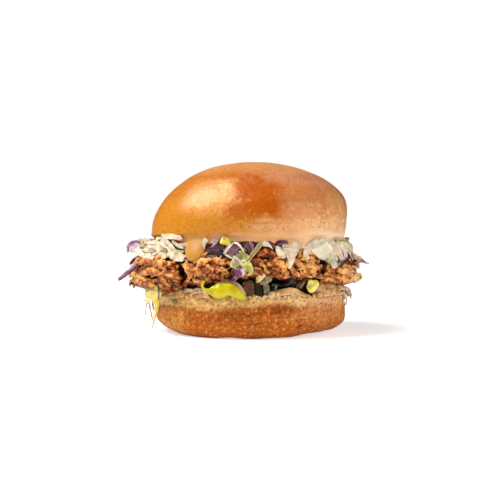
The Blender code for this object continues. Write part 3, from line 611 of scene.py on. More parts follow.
def make_heel(material):
    """The heel: top face, a small round, a side that leans in and a wide quarter ellipse down to
    its foot, turned about Z. Its crumb band is roughened by noise and its crust is pored."""
    side, top, foot, turn = HEEL_RADIUS, HEEL_HEIGHT, HEEL_FOOT, HEEL_ROUND
    belly, wide = 8.0, side + 0.3  # where the side turns under, and its radius there
    bend = np.radians(np.linspace(90, 0, 14))
    low = np.radians(np.linspace(0, -90, 40))
    radius = np.concatenate([
        np.linspace(1.0, side - turn, 26)[:-1], side - turn + turn * np.cos(bend),
        np.linspace(side, wide, 20)[1:-1], foot + (wide - foot) * np.cos(low), [foot * 0.6, 1.0],
    ])
    z = np.concatenate([
        np.full(25, top), top - turn + turn * np.sin(bend),
        np.linspace(top - turn, belly, 20)[1:-1], belly + belly * np.sin(low), [0.0, 0.0],
    ])
    angle = np.linspace(-180.0, 180.0, 420, endpoint=False)[None]
    grid = heel_out_of_round(polar(angle, radius[:, None], z[:, None]))
    out = normals_of(grid)
    height = grid[..., 2]
    crumb = crumb_band(grid)
    on_side = smoothstep(0.3, 2.0, height)
    ragged = 0.5 * noise(grid / 2.6, 31) + 0.3 * noise(grid / 1.1, 32) - 0.25
    skin = 0.35 * noise(grid / 14.0, 33) + 0.16 * noise(grid / 3.2, 34)
    pores = -0.9 * smoothstep(0.45, 0.75, noise(grid / 2.3, 35))
    depth = on_side * mix(skin + pores * 0.7, ragged, crumb)
    grid = grid + out * depth[..., None]
    return closed_piece("heel_of_the_bun", grid, material, heel_tint(grid, crumb, pores))


def crumb_band(points):
    """1 in the pale crumb band under the cut edge and on the cut face, 0 on the crust: a step in
    height at a wavy line."""
    angle = angle_of(points)
    line = 15.9 + 1.6 * noise(points / [16.0, 16.0, 40.0], 41) + 0.7 * noise(points / 4.0, 42)
    line = line + 1.6 * bump(angle, 17, 12) - 1.0 * bump(angle, -35, 16)
    width = 0.8 + 2.4 * bump(angle, 52, 26)
    return smoothstep(-width, width, points[..., 2] - line)


# The heel's crust from the front: lighter ends and a toasted arch under the band
HEEL_PATCHES = (
    ("#CE8448", 47.8, 14.2, 23.6, 7.3, 0.5, 0.7),
    ("#E09848", -55.4, 8.0, 15.7, 6.4, 0.5, 0.8),
    ("#BA601C", 0.0, 5.8, 42.0, 3.9, 0.4, 0.6),
    ("#B5682C", -13.8, 13.5, 11.4, 1.5, 0.5, 0.5),
    ("#C47420", -24.0, 14.4, 20.0, 0.8, 0.5, 0.7),
    ("#96420E", 16.0, 14.9, 13.0, 1.9, 0.3, 0.9),
    ("#9E4A12", -10.0, 12.9, 12.0, 1.0, 0.5, 0.5),
)


def heel_tint(points, crumb, pores):
    """The crust from orange brown under the band to dark brown at the foot, and the crumb's pale gold, in
    blotches and fine grains, with painted shade in the pores."""
    height, angle = points[..., 2], angle_of(points)
    blotch = noise(points / 10.0, 43) + 0.5 * noise(points / 3.0, 44)
    mid, dark, light, edge = (colour(c) for c in ("#B0581C", "#9A4812", "#CF8640", "#D2A260"))
    tint = mix(dark, mid, smoothstep(0.0, 4.0, height + 1.0 * blotch)[..., None])
    tint = mix(tint, light, (0.3 * bump(angle, 65, 35) + 0.2 * bump(angle, -70, 30))[..., None])
    tint = patched(points, tint, HEEL_PATCHES, 45)
    pale = mix(edge, colour("#F0CC8C"), smoothstep(-0.3, 0.6, blotch)[..., None])
    pale = mix(pale, colour("#D6A478"), (0.8 * bump(angle, 52, 26))[..., None])
    tint = mix(tint, pale, crumb[..., None])
    grain = noise(points / 1.4, 49)[..., None]
    tint = mix(tint, colour("#7A3410"), 0.5 * smoothstep(0.2, 0.55, grain) * (1.0 - 0.75 * crumb[..., None]))
    tint = mix(tint, colour("#EA9E48"), 0.5 * smoothstep(0.2, 0.55, -grain))
    # Painted shade in the pores
    hole = np.clip(-pores, 0, 1) * (1 - crumb)
    return mix(tint, colour("#5E2A10"), (0.6 * hole)[..., None])


def ball(rows, columns):
    """A unit ball's points on a grid that leaves out its poles."""
    down = np.linspace(0.0, math.pi, rows + 2)[1:-1, None]
    turn = np.linspace(0.0, 2 * math.pi, columns, endpoint=False)[None]
    x, y, z = np.sin(down) * np.cos(turn), np.sin(down) * np.sin(turn), np.cos(down)
    return np.stack(np.broadcast_arrays(x, y, z), axis=-1)


# Torn lumps on the heel's cut edge: angle, distance from the axis, height and radius
BREAD_LUMPS = (
    (-66.0, 49.4, 22.0, 3.0), (-58.0, 49.0, 23.0, 3.3), (-50.0, 49.2, 22.6, 3.2), (-42.5, 49.4, 22.4, 2.7),
    (-36.0, 49.8, 21.6, 2.0), (44.0, 50.2, 21.6, 2.2), (51.0, 50.0, 22.4, 2.8), (58.5, 50.2, 22.6, 3.0),
)
LUMP_STRETCH = (1.5, 0.8, 0.8)

# Crumbs at random: how many in all, and how many of them in front. The largest are listed, with the same four
# values as a lump
CRUMBS, FRONT_CRUMBS = 250, 60
LARGE_CRUMBS = (
    (12.2, 51.2, 22.4, 1.7), (15.2, 51.2, 22.2, 1.5), (25.0, 50.8, 21.6, 1.6), (28.5, 50.6, 21.3, 1.3),
    (22.0, 50.8, 21.3, 0.9), (8.0, 50.8, 21.4, 0.9), (2.5, 50.9, 21.2, 0.8),
)


def make_lumps(material):
    """The heel's larger torn lumps: stretched balls made uneven by noise."""
    angle, distance, height, radius = np.array(BREAD_LUMPS).T
    seats = polar(angle, distance, height)[:, None, None]
    shape = radius[:, None, None, None] * ball(15, 26)
    grid = seats + shape * LUMP_STRETCH
    grid = grid + shape * (0.45 * noise(grid / 3.0, 25) + 0.2 * noise(grid / 1.2, 26))[..., None]
    tint = mix(colour("#B98248"), colour("#E8BE84"), smoothstep(-0.4, 0.5, noise(grid / 2.4, 27))[..., None])
    return many_pieces("heel_bread_lumps", grid, material, tint)


def make_crumbs(material):
    """Crumbs torn up along the heel's cut edge: balls made uneven by noise, most of them small."""
    dice = np.random.default_rng(21)
    angle = dice.uniform(-180.0, 180.0, CRUMBS)
    angle[:FRONT_CRUMBS] = dice.uniform(-6.0, 26.0, FRONT_CRUMBS)
    radius = dice.uniform(0.35, 0.95, CRUMBS) * dice.uniform(0.6, 1.0, CRUMBS)
    distance, height = dice.uniform(49.2, 51.0, CRUMBS), HEEL_HEIGHT - 0.1 + dice.uniform(-0.9, 0.2, CRUMBS)
    seats = polar(angle, distance, height)
    angle, distance, height, large = np.array(LARGE_CRUMBS).T
    seats = np.concatenate([seats, polar(angle, distance, height)])
    shape = np.concatenate([radius, large])[:, None, None, None] * ball(7, 10)
    grid = seats[:, None, None] + shape
    grid = grid + shape * (0.5 * noise(grid / 0.8, 22))[..., None]
    tint = mix(colour("#D9B07A"), colour("#F6D9A2"), smoothstep(-0.3, 0.4, noise(grid / 1.5, 23))[..., None])
    return many_pieces("heel_crumbs", grid, material, tint)


# The fillet -------------------------------------------------------------------------------------


# Deep places between the folds: angle, height, spread round in degrees, spread up in mm, depth
HOLLOWS = (
    (-62.0, 39.8, 9.0, 1.6, 2.4), (-57.3, 30.2, 8.0, 0.9, 2.2), (-50.5, 34.6, 8.0, 0.9, 2.2),
    (-39.2, 33.5, 1.6, 6.0, 3.6), (-33.0, 40.3, 2.2, 2.6, 2.6), (-22.0, 32.4, 1.2, 3.4, 2.0),
    (-15.0, 43.2, 4.0, 2.2, 3.4), (-9.0, 34.0, 2.4, 6.0, 2.4), (4.3, 38.0, 2.2, 5.5, 3.2),
    (9.6, 43.5, 10.0, 3.0, 3.4), (21.8, 33.5, 1.6, 5.0, 2.4), (30.5, 39.5, 4.5, 3.0, 3.0),
    (42.8, 33.2, 2.0, 4.5, 2.6),
)


def crags(points):
    """Height of the fried coating in mm: on points that noise has pushed about, packed knobs of
    8.6 and 3.4 mm, and ropes laid level, where the size of noise falls to 0 in sharp creases. At
    the left the ropes are thicker. The hollows are bells cut into it."""
    angle = angle_of(points)
    moved = warped(warped(points, 9.0, 3.4, 51), 3.2, 1.1, 55)
    left = smoothstep(-14.0, -26.0, angle) * smoothstep(-130.0, -100.0, angle)
    large = knobs(moved / [8.6, 8.6, 7.0], 61)
    small = knobs(moved / [3.4, 3.4, 2.6], 62)
    ropes = np.abs(noise(moved / [7.5, 7.5, 3.2], 63))
    thick = np.abs(noise(moved / [13.0, 13.0, 4.6], 65))
    fine = np.abs(noise(moved / 1.4, 64))
    height = 3.0 * large * (1.0 - 0.4 * left) + mix(4.2 * ropes, 6.0 * thick, left)
    height = height + 1.3 * small + 0.9 * fine - 3.4
    for centre, level, wide, tall, deep in HOLLOWS:
        height = height - deep * bump(angle, centre, wide) * np.exp(-(((points[..., 2] - level) / tall) ** 2))
    return height


def fillet_grid(columns, side_rows):
    """The fillet without crags, as in the solid: flat faces and a side that is half an ellipse."""
    angle = np.linspace(-180.0, 180.0, columns, endpoint=False)[None]
    bend = np.radians(np.linspace(90, -90, side_rows))
    inner = np.concatenate([np.linspace(0.05, 1, 9)[:-1], np.ones(side_rows), np.linspace(1, 0.05, 9)[1:]])
    bend = np.concatenate([np.full(8, math.pi / 2), bend, np.full(8, -math.pi / 2)])
    outline = fillet_outline(angle)
    radius = (outline - FILLET_EDGE) * inner[:, None] + FILLET_EDGE * np.cos(bend)[:, None]
    flat = polar(angle, radius, 0.0)
    top, bottom = fillet_top(flat[..., 0]), fillet_bottom(flat[..., 0])
    flat[..., 2] = (top + bottom) / 2 + np.sin(bend)[:, None] * (top - bottom) / 2
    return flat


def make_fillet(material):
    """The fried fillet: its plain form moved out along its normals by the crags, whose crests hang
    down over the creases under them."""
    grid = fillet_grid(680, 104)
    out = normals_of(grid)
    edge = np.hypot(grid[..., 0], grid[..., 1]) / fillet_outline(angle_of(grid))
    tips = 1.6 * smoothstep(48.0, 60.0, np.abs(grid[..., 0])) + 0.9 * smoothstep(48.0, 58.0, grid[..., 0])
    under = 0.85 * smoothstep(0.25, 0.8, -out[..., 2])
    height = (crags(grid) - tips) * (1.0 - under) * smoothstep(0.62, 0.86, edge)
    crest = height - blurred(height, 5, 3)
    broad = height - blurred(height, 14, 8)
    depth = height + 0.5 * crest
    grid = grid + out * depth[..., None] - [0.0, 0.0, 0.55] * crest[..., None]
    # Near black in the creases is painted shade, and golden on the crests is partly painted highlight
    tint = fried_tint(grid, 1.5 * crest + 0.75 * broad - 0.72)
    return closed_piece("fried_fillet_crags", grid, material, tint), grid


# Painted shade in a crease, body, crest (partly painted highlight) and oilier patches of the coating
FRIED_COLOURS = ("#120200", "#983A0C", "#FFBA68", "#B43A10")


def fried_tint(points, crest):
    """The coating's colour: near black in a crease, which is painted shade, brown between, golden on a crest,
    partly its own colour and partly painted highlight, paler towards the right end, which is painted light,
    with redder and paler patches."""
    patch = noise(points / 9.0, 71) + 0.6 * noise(points / 3.5, 72)
    # Paler towards the right end: painted light
    crest = crest + 0.56 * smoothstep(0.0, 44.0, points[..., 0])
    dark, brown, gold, red = (colour(c) for c in FRIED_COLOURS)
    tint = mix(dark, brown, smoothstep(-0.4, 0.3, crest)[..., None])
    oily = 0.6 * smoothstep(0.2, 0.7, noise(points / 5.5, 73)) * smoothstep(-0.5, 0.2, crest)
    tint = mix(tint, red, oily[..., None])
    tint = mix(tint, gold, (smoothstep(0.24, 0.85, crest) * smoothstep(-0.9, 0.4, patch))[..., None])
    ends = smoothstep(47.0, 58.0, points[..., 0]) + smoothstep(58.0, 66.0, -points[..., 0])
    tint = mix(tint, colour("#FFD292"), (0.8 * ends * smoothstep(-0.3, 0.4, crest))[..., None])
    red_spot = np.exp(-((points[..., 0] - 53.0) / 3.5) ** 2 - ((points[..., 2] - 36.6) / 1.8) ** 2)
    return mix(tint, red, (0.8 * red_spot)[..., None])


# How near each tone of a fold is to the crest's colour
FOLD_TONES = {"gold": 1.0, "brown": 0.0, "red": -0.4}

# Folds of the coating that show from the front: tone, width, thickness as a share of it and four
# points: angle, height and distance off the cover
FRIED_FOLDS = (
    ("gold", 3.4, 0.8, (-60.2, 35.9, 0.2), (-55.3, 37.6, 1.6), (-49.9, 37.4, 1.8), (-46.1, 36.2, 0.6)),
    ("brown", 2.6, 0.8, (-48.7, 37.7, 0.6), (-45.1, 36.8, 1.4), (-42.9, 35.3, 1.2), (-42.1, 33.8, 0.2)),
    ("gold", 3.2, 0.8, (-74.8, 34.5, 0.2), (-68.8, 36.3, 1.2), (-65.7, 37.4, 1.4), (-63.5, 37.9, 0.4)),
    ("gold", 4, 0.8, (-65.8, 31.2, 0.4), (-57.9, 33, 1.8), (-52.1, 33.4, 2), (-48.4, 31.7, 1.2)),
    ("brown", 3.8, 0.8, (-49.4, 32.7, 0.8), (-44.4, 32.3, 2), (-41.6, 30.8, 1.8), (-39.1, 30.3, 0.4)),
    ("gold", 3, 0.7, (-70.2, 32, 0.4), (-64.3, 30.2, 1.4), (-60, 29.3, 1.6), (-56.8, 29.4, 0.6)),
    ("gold", 3.6, 0.8, (-70.4, 28.9, 0.2), (-63.3, 27.1, 1.4), (-57.6, 26.8, 1.6), (-56.1, 25.3, 0.6)),
    ("brown", 3, 0.7, (-55.3, 27.9, 0.6), (-49.7, 28.9, 1.6), (-46.5, 28, 1.6), (-45.8, 26.1, 0.4)),
    ("red", 2.4, 0.7, (-57, 24.2, 0.2), (-52.5, 23.6, 1), (-46.8, 24, 1), (-42.9, 25.1, 0.2)),
    ("brown", 2.6, 0.7, (-57.6, 35, 0.2), (-52.2, 35.4, 1.2), (-47.3, 34.7, 1.4), (-44.2, 33.5, 0.4)),
    ("gold", 2.2, 0.7, (-78.3, 32.8, 0), (-71.3, 31.5, 1), (-69.2, 30, 1), (-70, 27.8, 0.2)),
    ("brown", 2.2, 0.8, (-45.7, 28.7, 0.4), (-43, 29.3, 1.4), (-41.4, 28.8, 1.4), (-40.7, 27.7, 0.4)),
    ("gold", 3.4, 0.8, (-75.3, 36.6, 0.8), (-69.6, 38.5, 2), (-64.5, 39.1, 2.2), (-58.5, 38, 0.8)),
    ("gold", 3.4, 0.5, (-37.1, 38.8, 1), (-33.2, 35.5, 2.6), (-31.3, 32.1, 2.8), (-35.6, 28.4, 1.6)),
    ("red", 2.8, 0.5, (-34.4, 29.4, 1.4), (-38.2, 27, 2), (-40.7, 26.8, 1.8), (-43, 28, 0.6)),
    ("brown", 2, 0.5, (-32.4, 37.9, 0.8), (-29.8, 35, 1.8), (-29.3, 32.1, 1.8), (-31.6, 29, 0.6)),
    ("gold", 3.6, 0.5, (-30.6, 33.5, 0.6), (-27.5, 32.4, 2), (-24.9, 31.9, 2.2), (-23.3, 32.6, 1)),
    ("gold", 3.4, 0.6, (-31.2, 30.5, 0.4), (-29.3, 28.6, 1.8), (-27, 28.1, 1.8), (-25, 29.1, 0.6)),
    ("gold", 4.4, 0.45, (-28.3, 36.5, 0.8), (-25.5, 38.3, 2.4), (-22.5, 39.5, 2.6), (-20.7, 40, 1)),
    ("brown", 3.2, 0.5, (-27.7, 35, 0.6), (-24.2, 34.4, 2), (-21.6, 34.1, 2), (-20, 35.6, 0.8)),
    ("gold", 3.2, 0.5, (-21.5, 40.4, 0.8), (-17.8, 39, 2.2), (-15, 38.1, 2.2), (-12.8, 37.6, 0.8)),
    ("brown", 3.4, 0.5, (-21.2, 36.6, 0.6), (-17.4, 35.6, 2.2), (-13.8, 34.9, 2.4), (-11.3, 33.1, 0.8)),
    ("brown", 3, 0.6, (-22.6, 32.1, 0.4), (-19, 31.4, 1.8), (-16.2, 30.7, 1.8), (-13.7, 30.1, 0.6)),
    ("red", 2.6, 0.6, (-21.1, 29, 0.2), (-18.6, 28.5, 1.2), (-16, 27.9, 1.2), (-12.7, 28.4, 0.2)),
    ("brown", 2.6, 0.6, (-15.7, 40.9, 0.4), (-12.9, 39.5, 1.4), (-11.1, 37.6, 1.4), (-10.3, 35.1, 0.4)),
    ("gold", 2.2, 0.5, (-24.1, 37.5, 1.6), (-21.4, 36.4, 2.6), (-19.9, 34.7, 2.4), (-20.1, 32.6, 1)),
    ("red", 4.6, 0.6, (3.3, 40.5, 0.4), (5.9, 42.9, 2), (9.7, 43.7, 2.2), (14, 41.9, 0.8)),
    ("brown", 3.6, 0.6, (0.5, 36.6, 0.2), (2.6, 38.1, 1.6), (4.7, 38.1, 1.6), (6.4, 36.6, 0.4)),
    ("gold", 1.6, 0.7, (6.7, 38.6, 0.6), (7.2, 36.7, 2), (8.2, 34.5, 2), (10.8, 32.7, 0.8)),
    ("red", 3.4, 0.7, (9.7, 39, 0.4), (11.1, 37.6, 2), (12.9, 36.1, 2), (14.4, 34.1, 0.6)),
    ("gold", 3.6, 0.6, (14, 38.5, 0.6), (16.1, 38.3, 2.2), (18, 36.6, 2.4), (19.2, 34.1, 1)),
    ("gold", 3, 0.7, (14.5, 33.6, 0.6), (15.4, 35.2, 2.2), (17.7, 33.7, 2.2), (21.9, 32.6, 0.6)),
    ("brown", 2.8, 0.7, (9.9, 32.1, 0.2), (13.6, 31.7, 1.4), (18.2, 31.1, 1.4), (23.7, 31.5, 0.2)),
    ("red", 2.6, 0.7, (2.1, 34.7, 0.2), (4.2, 34.2, 1.4), (6.3, 33.2, 1.4), (9, 31.1, 0.2)),
    ("brown", 3.4, 0.6, (25.2, 38.5, 0.4), (27.4, 39.9, 1.6), (30.9, 39.4, 1.6), (35.5, 37.8, 0.6)),
    ("brown", 4.4, 0.7, (27.5, 41.8, 0.6), (30.1, 43.6, 1.6), (34.6, 43.3, 1.6), (44.3, 40.6, 0.6)),
    ("red", 3.2, 0.7, (27.2, 39.4, 0.6), (30.5, 40.4, 1.8), (35, 39.6, 1.8), (41.1, 37.7, 0.6)),
    ("red", 3.6, 0.7, (6.7, 41, 0.4), (9.2, 42.4, 1.8), (12.4, 42.1, 1.8), (14.8, 40.5, 0.4)),
    ("gold", 2.4, 0.7, (26.4, 34.5, 0.8), (28.2, 36, 2.4), (32.4, 36.2, 2.4), (39.4, 34.3, 1.2)),
    ("gold", 2.2, 0.7, (27.1, 34, 0.8), (29.8, 32, 2.2), (34.8, 31.4, 2.2), (41.1, 32.7, 1)),
    ("brown", 3, 0.7, (28.6, 34, 1.2), (30.2, 34, 2.2), (33.4, 33.7, 2.2), (38, 33.3, 1.2)),
    ("red", 3.2, 0.7, (21.5, 36.5, 0.4), (22.7, 34.6, 1.6), (25.3, 32.8, 1.6), (30.3, 30.6, 0.4)),
    ("red", 4, 0.7, (46.6, 27.4, 0.4), (44.9, 29.4, 1.8), (47.4, 29.1, 1.8), (53.3, 27.3, 0.4)),
    ("brown", 3.2, 0.7, (44.2, 31.7, 0.4), (45.4, 32.2, 1.8), (49, 31.1, 1.8), (56.1, 29.3, 0.4)),
    ("red", 3.4, 0.6, (57.2, 35.9, 0.4), (61.7, 36.4, 2), (64, 35.3, 2), (67.1, 33.1, 0.6)),
    ("gold", 3.2, 0.6, (50.8, 34.1, 0.4), (53.6, 33.5, 1.8), (58.2, 32.4, 2), (66.3, 30.5, 0.6)),
    ("gold", 3, 0.6, (59.5, 28.2, 0.2), (62.1, 28.6, 1.2), (66, 30, 1.4), (73.2, 31.9, 0.4)),
)


def flaked(name, paths, width, thickness, tone, material, seed, columns):
    """One mesh of flakes of coating along (N, rows, 3) paths, cupped, twisted, crumpled by noise, paler along
    their edges, with painted shade behind and below them."""
    dice = np.random.default_rng(seed)
    count, rows = paths.shape[:2]
    s = np.linspace(0, 1, rows)
    taper = width[:, None] * (1.0 - 0.35 * np.abs(2 * s - 1) ** 2) * (1.0 + 0.4 * noise(paths / 2.0, seed))
    twist = dice.normal(0.0, 0.45, (count, 1)) + dice.normal(0.0, 0.5, (count, 1)) * (s - 0.5)
    cup = dice.uniform(-0.1, 0.25, count)
    grid, across, _ = strips(paths, taper, thickness, cup, twist, 0.14 * width, 4.0, columns, seed)
    grid = warped(warped(grid, 2.4, 0.55, seed + 1), 1.1, 0.3, seed + 4)
    half = 0.5 * width[:, None, None]
    outward = np.hypot(grid[..., 0], grid[..., 1]) - np.hypot(paths[..., 0], paths[..., 1])[..., None]
    behind = np.clip(outward / half, -1.0, 0.0)
    under = np.clip((paths[..., 2, None] - grid[..., 2]) / half - 0.1, 0.0, 1.0)
    crest = 0.34 + 0.34 * tone[:, None, None] + 0.6 * np.abs(across) ** 3 + 0.9 * noise(grid / 2.2, seed + 7)
    # behind and under darken the flakes: painted shade
    return many_pieces(name, grid, material, fried_tint(grid, crest + 1.3 * behind - 1.3 * under))


def make_folds(material):
    """The folds in front, laid as listed."""
    curve = smooth_paths(np.array([row[3:] for row in FRIED_FOLDS]), 30)
    paths = laid(curve[..., 0], curve[..., 1], curve[..., 2] - 0.3)
    width, share = np.array([row[1:3] for row in FRIED_FOLDS]).T
    tone = np.array([FOLD_TONES[row[0]] for row in FRIED_FOLDS])
    return flaked("fried_folds", paths, width, width * share, tone, material, 171, 20)


FLAKES = 960  # how many lie round the fillet's side


def make_flakes(coating, material):
    """Small flakes all round the fillet's side, from the grid of its coating: short curved strips
    with their ends in the coating and their middles or one end raised."""
    dice = np.random.default_rng(12)
    row = dice.integers(12, coating.shape[0] - 34, FLAKES)
    column = dice.integers(0, coating.shape[1], FLAKES)
    out = normals_of(coating)
    out = unit(np.stack([blurred(out[..., k], 6, 6) for k in range(3)], axis=-1))[row, column]
    level = unit(np.cross([0.0, 0.0, 1.0], out))
    lean = dice.normal(0.0, 0.7, FLAKES)[:, None]
    run = level * np.cos(lean) + np.cross(out, level) * np.sin(lean)
    length = dice.uniform(2.2, 7.5, FLAKES) * dice.uniform(0.6, 1.0, FLAKES)
    reach = length[:, None, None]
    s = np.linspace(0.0, 1.0, 9)[None, :, None]
    middle, end = dice.uniform(0.1, 1.2, (FLAKES, 1, 1)), dice.uniform(-0.2, 0.9, (FLAKES, 1, 1))
    raised = middle * np.sin(math.pi * s) + end * s - 0.35
    bend = dice.normal(0.0, 0.16, (FLAKES, 1, 1)) * reach * np.sin(math.pi * s)
    paths = coating[row, column][:, None] + run[:, None] * (reach * (s - 0.5)) + out[:, None] * raised
    paths = paths + np.cross(out, run)[:, None] * bend
    width = np.clip(length * dice.uniform(0.3, 0.6, FLAKES), 1.0, 3.0)
    thickness = np.clip(width * dice.uniform(0.35, 0.6, FLAKES), 0.6, 1.3)
    tone = dice.normal(0.45, 0.6, FLAKES)
    return flaked("fried_flakes", paths, width, thickness, tone, material, 181, 9)


# Sauce ------------------------------------------------------------------------------------------


# Drips: angle, lowest point, half width in degrees, and the powers n and m of its outline
DRIPS = ((-31.8, 38.4, 6.8, 2.3, 0.5), (27.0, 45.6, 12.0, 2.0, 1.5), (148.0, 41.5, 5.0, 2.6, 0.5))


def rim_radius(angle, z):
    """The crown's radius at a height as it is out of round, at the rim."""
    plain = polar(angle, crown_reach(z), z)
    return np.hypot(*np.moveaxis(crown_out_of_round(plain)[..., :2], -1, 0))


def make_sauce(material):
    """The sauce: a sheet that starts flush with the crown's side, swells over the rim and hangs to
    its lower edge, then turns in and runs back under the crown. Each drip lowers that edge by
    (1-|t|^n)^m of its length, t being the offset from its middle over its half width."""
    drips = [np.linspace(centre - 1.3 * half, centre + 1.3 * half, 44) for centre, _, half, *_ in DRIPS]
    angle = np.sort(np.concatenate([np.linspace(-180.0, 180.0, 360, endpoint=False), *drips]))[None]
    wavy = noise(polar(angle, 50.0, 0.0) / 8.0, 81)
    low = SAUCE_BOTTOM + 0.1 - 0.6 * wavy - 0.3 * bump(angle, 40, 60) - 1.2 * bump(angle, -62, 24)
    reach = np.zeros_like(angle)
    for centre, end, half, n, m in DRIPS:
        t = np.clip(np.abs(angle - centre) / half, 0.0, 1.0)
        shape = (1.0 - t**n) ** m
        shoulder = 0.24 * bump(angle, centre - 1.0, 1.35 * half)
        low = low - (low - end) * np.maximum(shape, shoulder)
        reach = np.maximum(reach, shape)
    top = 56.0 + 1.2 * wavy + 0.6 * bump(angle, 38, 35)
    rows = [polar(angle, 47.0 * share, CROWN_BASE - 0.2) for share in np.linspace(0.03, 1.0, 6)]
    climb = CROWN_BASE + (top - CROWN_BASE) * np.linspace(0, 1, 8)[:, None, None]
    rows += [polar(angle, rim_radius(angle, z) - 0.6, z) for z in climb]

    def outside(z):
        """The sauce's radius: just over the crown's side above the rim, its own edge below it."""
        side = rim_radius(angle, np.maximum(z, CROWN_BASE + 0.5)) - 0.55 + 0.9 * smoothstep(0.0, 5.5, top - z)
        hung = sauce_outline(angle) + 0.6 + reach * (1.0 + 3.0 * smoothstep(50.0, 41.0, z))
        return mix(side, np.maximum(hung, side), smoothstep(54.6, 47.6, z))

    round_edge = 1.0 + 0.5 * reach
    for share in np.linspace(0.0, 1.0, 52) ** 0.8:
        z = top + (low - top) * share
        turn = np.clip(1.0 - (z - low) / round_edge, 0.0, 1.0)
        rows.append(polar(angle, outside(z) - round_edge * (1.0 - np.sqrt(1.0 - turn**2)), z))
    for share in np.linspace(0.0, 1.0, 12)[1:]:
        z = low + 0.1 + (SAUCE_BOTTOM - low - 0.1) * share
        rows.append(polar(angle, outside(low) - round_edge - (0.4 + 1.6 * share), z))
    rows += [polar(angle, 49.0 * share, SAUCE_BOTTOM - 0.1) for share in np.linspace(0.97, 0.03, 6)]
    grid = np.stack([row.reshape(-1, 3) for row in rows])
    out = normals_of(grid)
    skin = 0.22 * noise(grid / 6.0, 83) * smoothstep(45.0, 49.0, np.hypot(grid[..., 0], grid[..., 1]))
    grid = grid + out * skin[..., None]
    tint = mix(colour("#E4A66C"), colour("#D4925A"), smoothstep(-0.4, 0.6, noise(grid / 12.0, 82))[..., None])
    tint = mix(tint, colour("#C48B36"), 0.95 * bump(angle, -31.8, 9)[..., None])
    # Paler at the right: painted light
    tint = mix(tint, colour("#FFDAB0"), bump(angle, 58, 26)[..., None])
    thick = smoothstep(0.5, 5.5, top - grid[..., 2]) * (1.0 - smoothstep(0.25, 0.7, bump(angle, -74, 32)))
    tint = mix(crown_tint(grid), tint, thick[..., None])
    return closed_piece("burger_sauce_sheet", grid, material, tint)


def sauce_outline(angle):
    """The sauce's edge, squeezed out unevenly: two sines round the burger."""
    return SAUCE_RADIUS + 0.6 * np.sin(np.radians(5 * angle + 60)) + 0.4 * np.sin(np.radians(9 * angle))


# Shreds -----------------------------------------------------------------------------------------

# Cut faces and edges of each kind of shred
SHRED_COLOURS = {
    "white": ("#EFDEC8", "#DFC9A6"),
    "cream": ("#F5E0C4", "#E8D0AC"),
    "leaf": ("#E8DCC2", "#F8E8C8"),
    "tanleaf": ("#CDB887", "#E6D6AC"),
    "green": ("#ACA45A", "#E4DEAE"),
    "lime": ("#BEBC44", "#DAD684"),
    "yellow": ("#E2CE46", "#C9AE34"),
    "purple": ("#521C2A", "#945E6A"),
    "lilac": ("#885062", "#C8A2AA"),
    "lilacwhite": ("#F2E2EC", "#CDAEC6"),
    # The next two kinds are near black shreds put where the gaps between shreds are in shade: painted shade
    "dark": ("#220A08", "#5A3028"),
    "hole": ("#160A08", "#241410"),
    "wedge": ("#661E50", "#9C6488"),
    "pink": ("#F0CAB6", "#FAE4D6"),
    "tan": ("#B98E5E", "#D3B488"),
    "olive": ("#4B4220", "#8A7C44"),
    "violet": ("#96668C", "#D2AEC8"),
    "plum": ("#744054", "#AC7E92"),
    "limetan": ("#F6DE7C", "#F9E8A8"),
    "khaki": ("#A28C54", "#C8B884"),
    "peach": ("#F6C294", "#FAD4A8"),
    "goldstrand": ("#F2CC4C", "#E6BC48"),
    "soaked": ("#DCA264", "#E8BA80"),
    "pinktan": ("#DCB083", "#EBCBA2"),
    "brownleaf": ("#7A4E2C", "#6A5426"),
    "greytan": ("#9A8A5C", "#B5A67C"),
    "wedgecream": ("#F0D286", "#F6E4B0"),
    "greenwhite": ("#56623E", "#8E966C"),
    "breadtan": ("#E2A868", "#ECBE84"),
}


# Kinds that the dressing doesn't show on
UNDRESSED = (
    "dark", "hole", "plum", "purple", "wedge", "olive", "brownleaf", "greytan", "soaked", "breadtan",
    "limetan",
)


def shred_tint(kinds, across, along, place, seed):
    """Each shred's colour: its kind's first colour in the middle and second along its edges, with
    fine veins, a cosine across, and patches of dressing and of shade from noise."""
    tints = np.array([[colour(code) for code in SHRED_COLOURS[kind]] for kind in kinds])
    middle, edge = tints[:, 0, None, None], tints[:, 1, None, None]
    number = np.arange(len(kinds))[:, None, None]
    phase = 11.0 * across + 2.0 * along + number + 3.0 * noise(place / 4.0, seed + 2)
    veins = (0.5 + 0.5 * np.cos(phase)) ** 3
    share = np.clip(0.75 * smoothstep(0.45, 0.95, np.abs(across)) + 0.5 * veins, 0.0, 1.0)
    tint = mix(middle, edge, share[..., None])
    dressed = np.array([kind not in UNDRESSED for kind in kinds])[:, None, None]
    patch = 0.4 * smoothstep(0.15, 0.6, noise(place / 5.0, seed)) * dressed
    tint = mix(tint, colour("#F3E4CE"), patch[..., None])
    tint[..., :3] *= 0.72 + 0.28 * smoothstep(-0.5, 0.3, noise(place / 2.2, seed + 1))[..., None]
    return tint


def shreds_along(name, material, table, paths, thin, ruffle, blunt, columns, seed):
    """One mesh of a table's shreds along (N, rows, 3) paths. Each narrows to its tip's share of its
    width. thin is (thickness over width, least, most), and ruffle is a share of the width."""
    width, tip, cup, first, last = np.array([row[1:6] for row in table], float).T
    s = np.linspace(0, 1, paths.shape[1])
    taper = width[:, None] * (1.0 - (1.0 - tip[:, None]) * smoothstep(0.25, 1.0, s))
    taper = taper * (1.0 + 0.14 * noise(paths / 2.6, seed + 5))
    twist = first[:, None] + (last - first)[:, None] * s
    share, least, most = thin
    thickness = np.clip(share * width, least, most)
    grid, across, along = strips(paths, taper, thickness, cup, twist, ruffle * width, blunt, columns, seed)
    tint = shred_tint([row[0] for row in table], across, along, grid, seed + 6)
    return many_pieces(name, grid, material, tint)


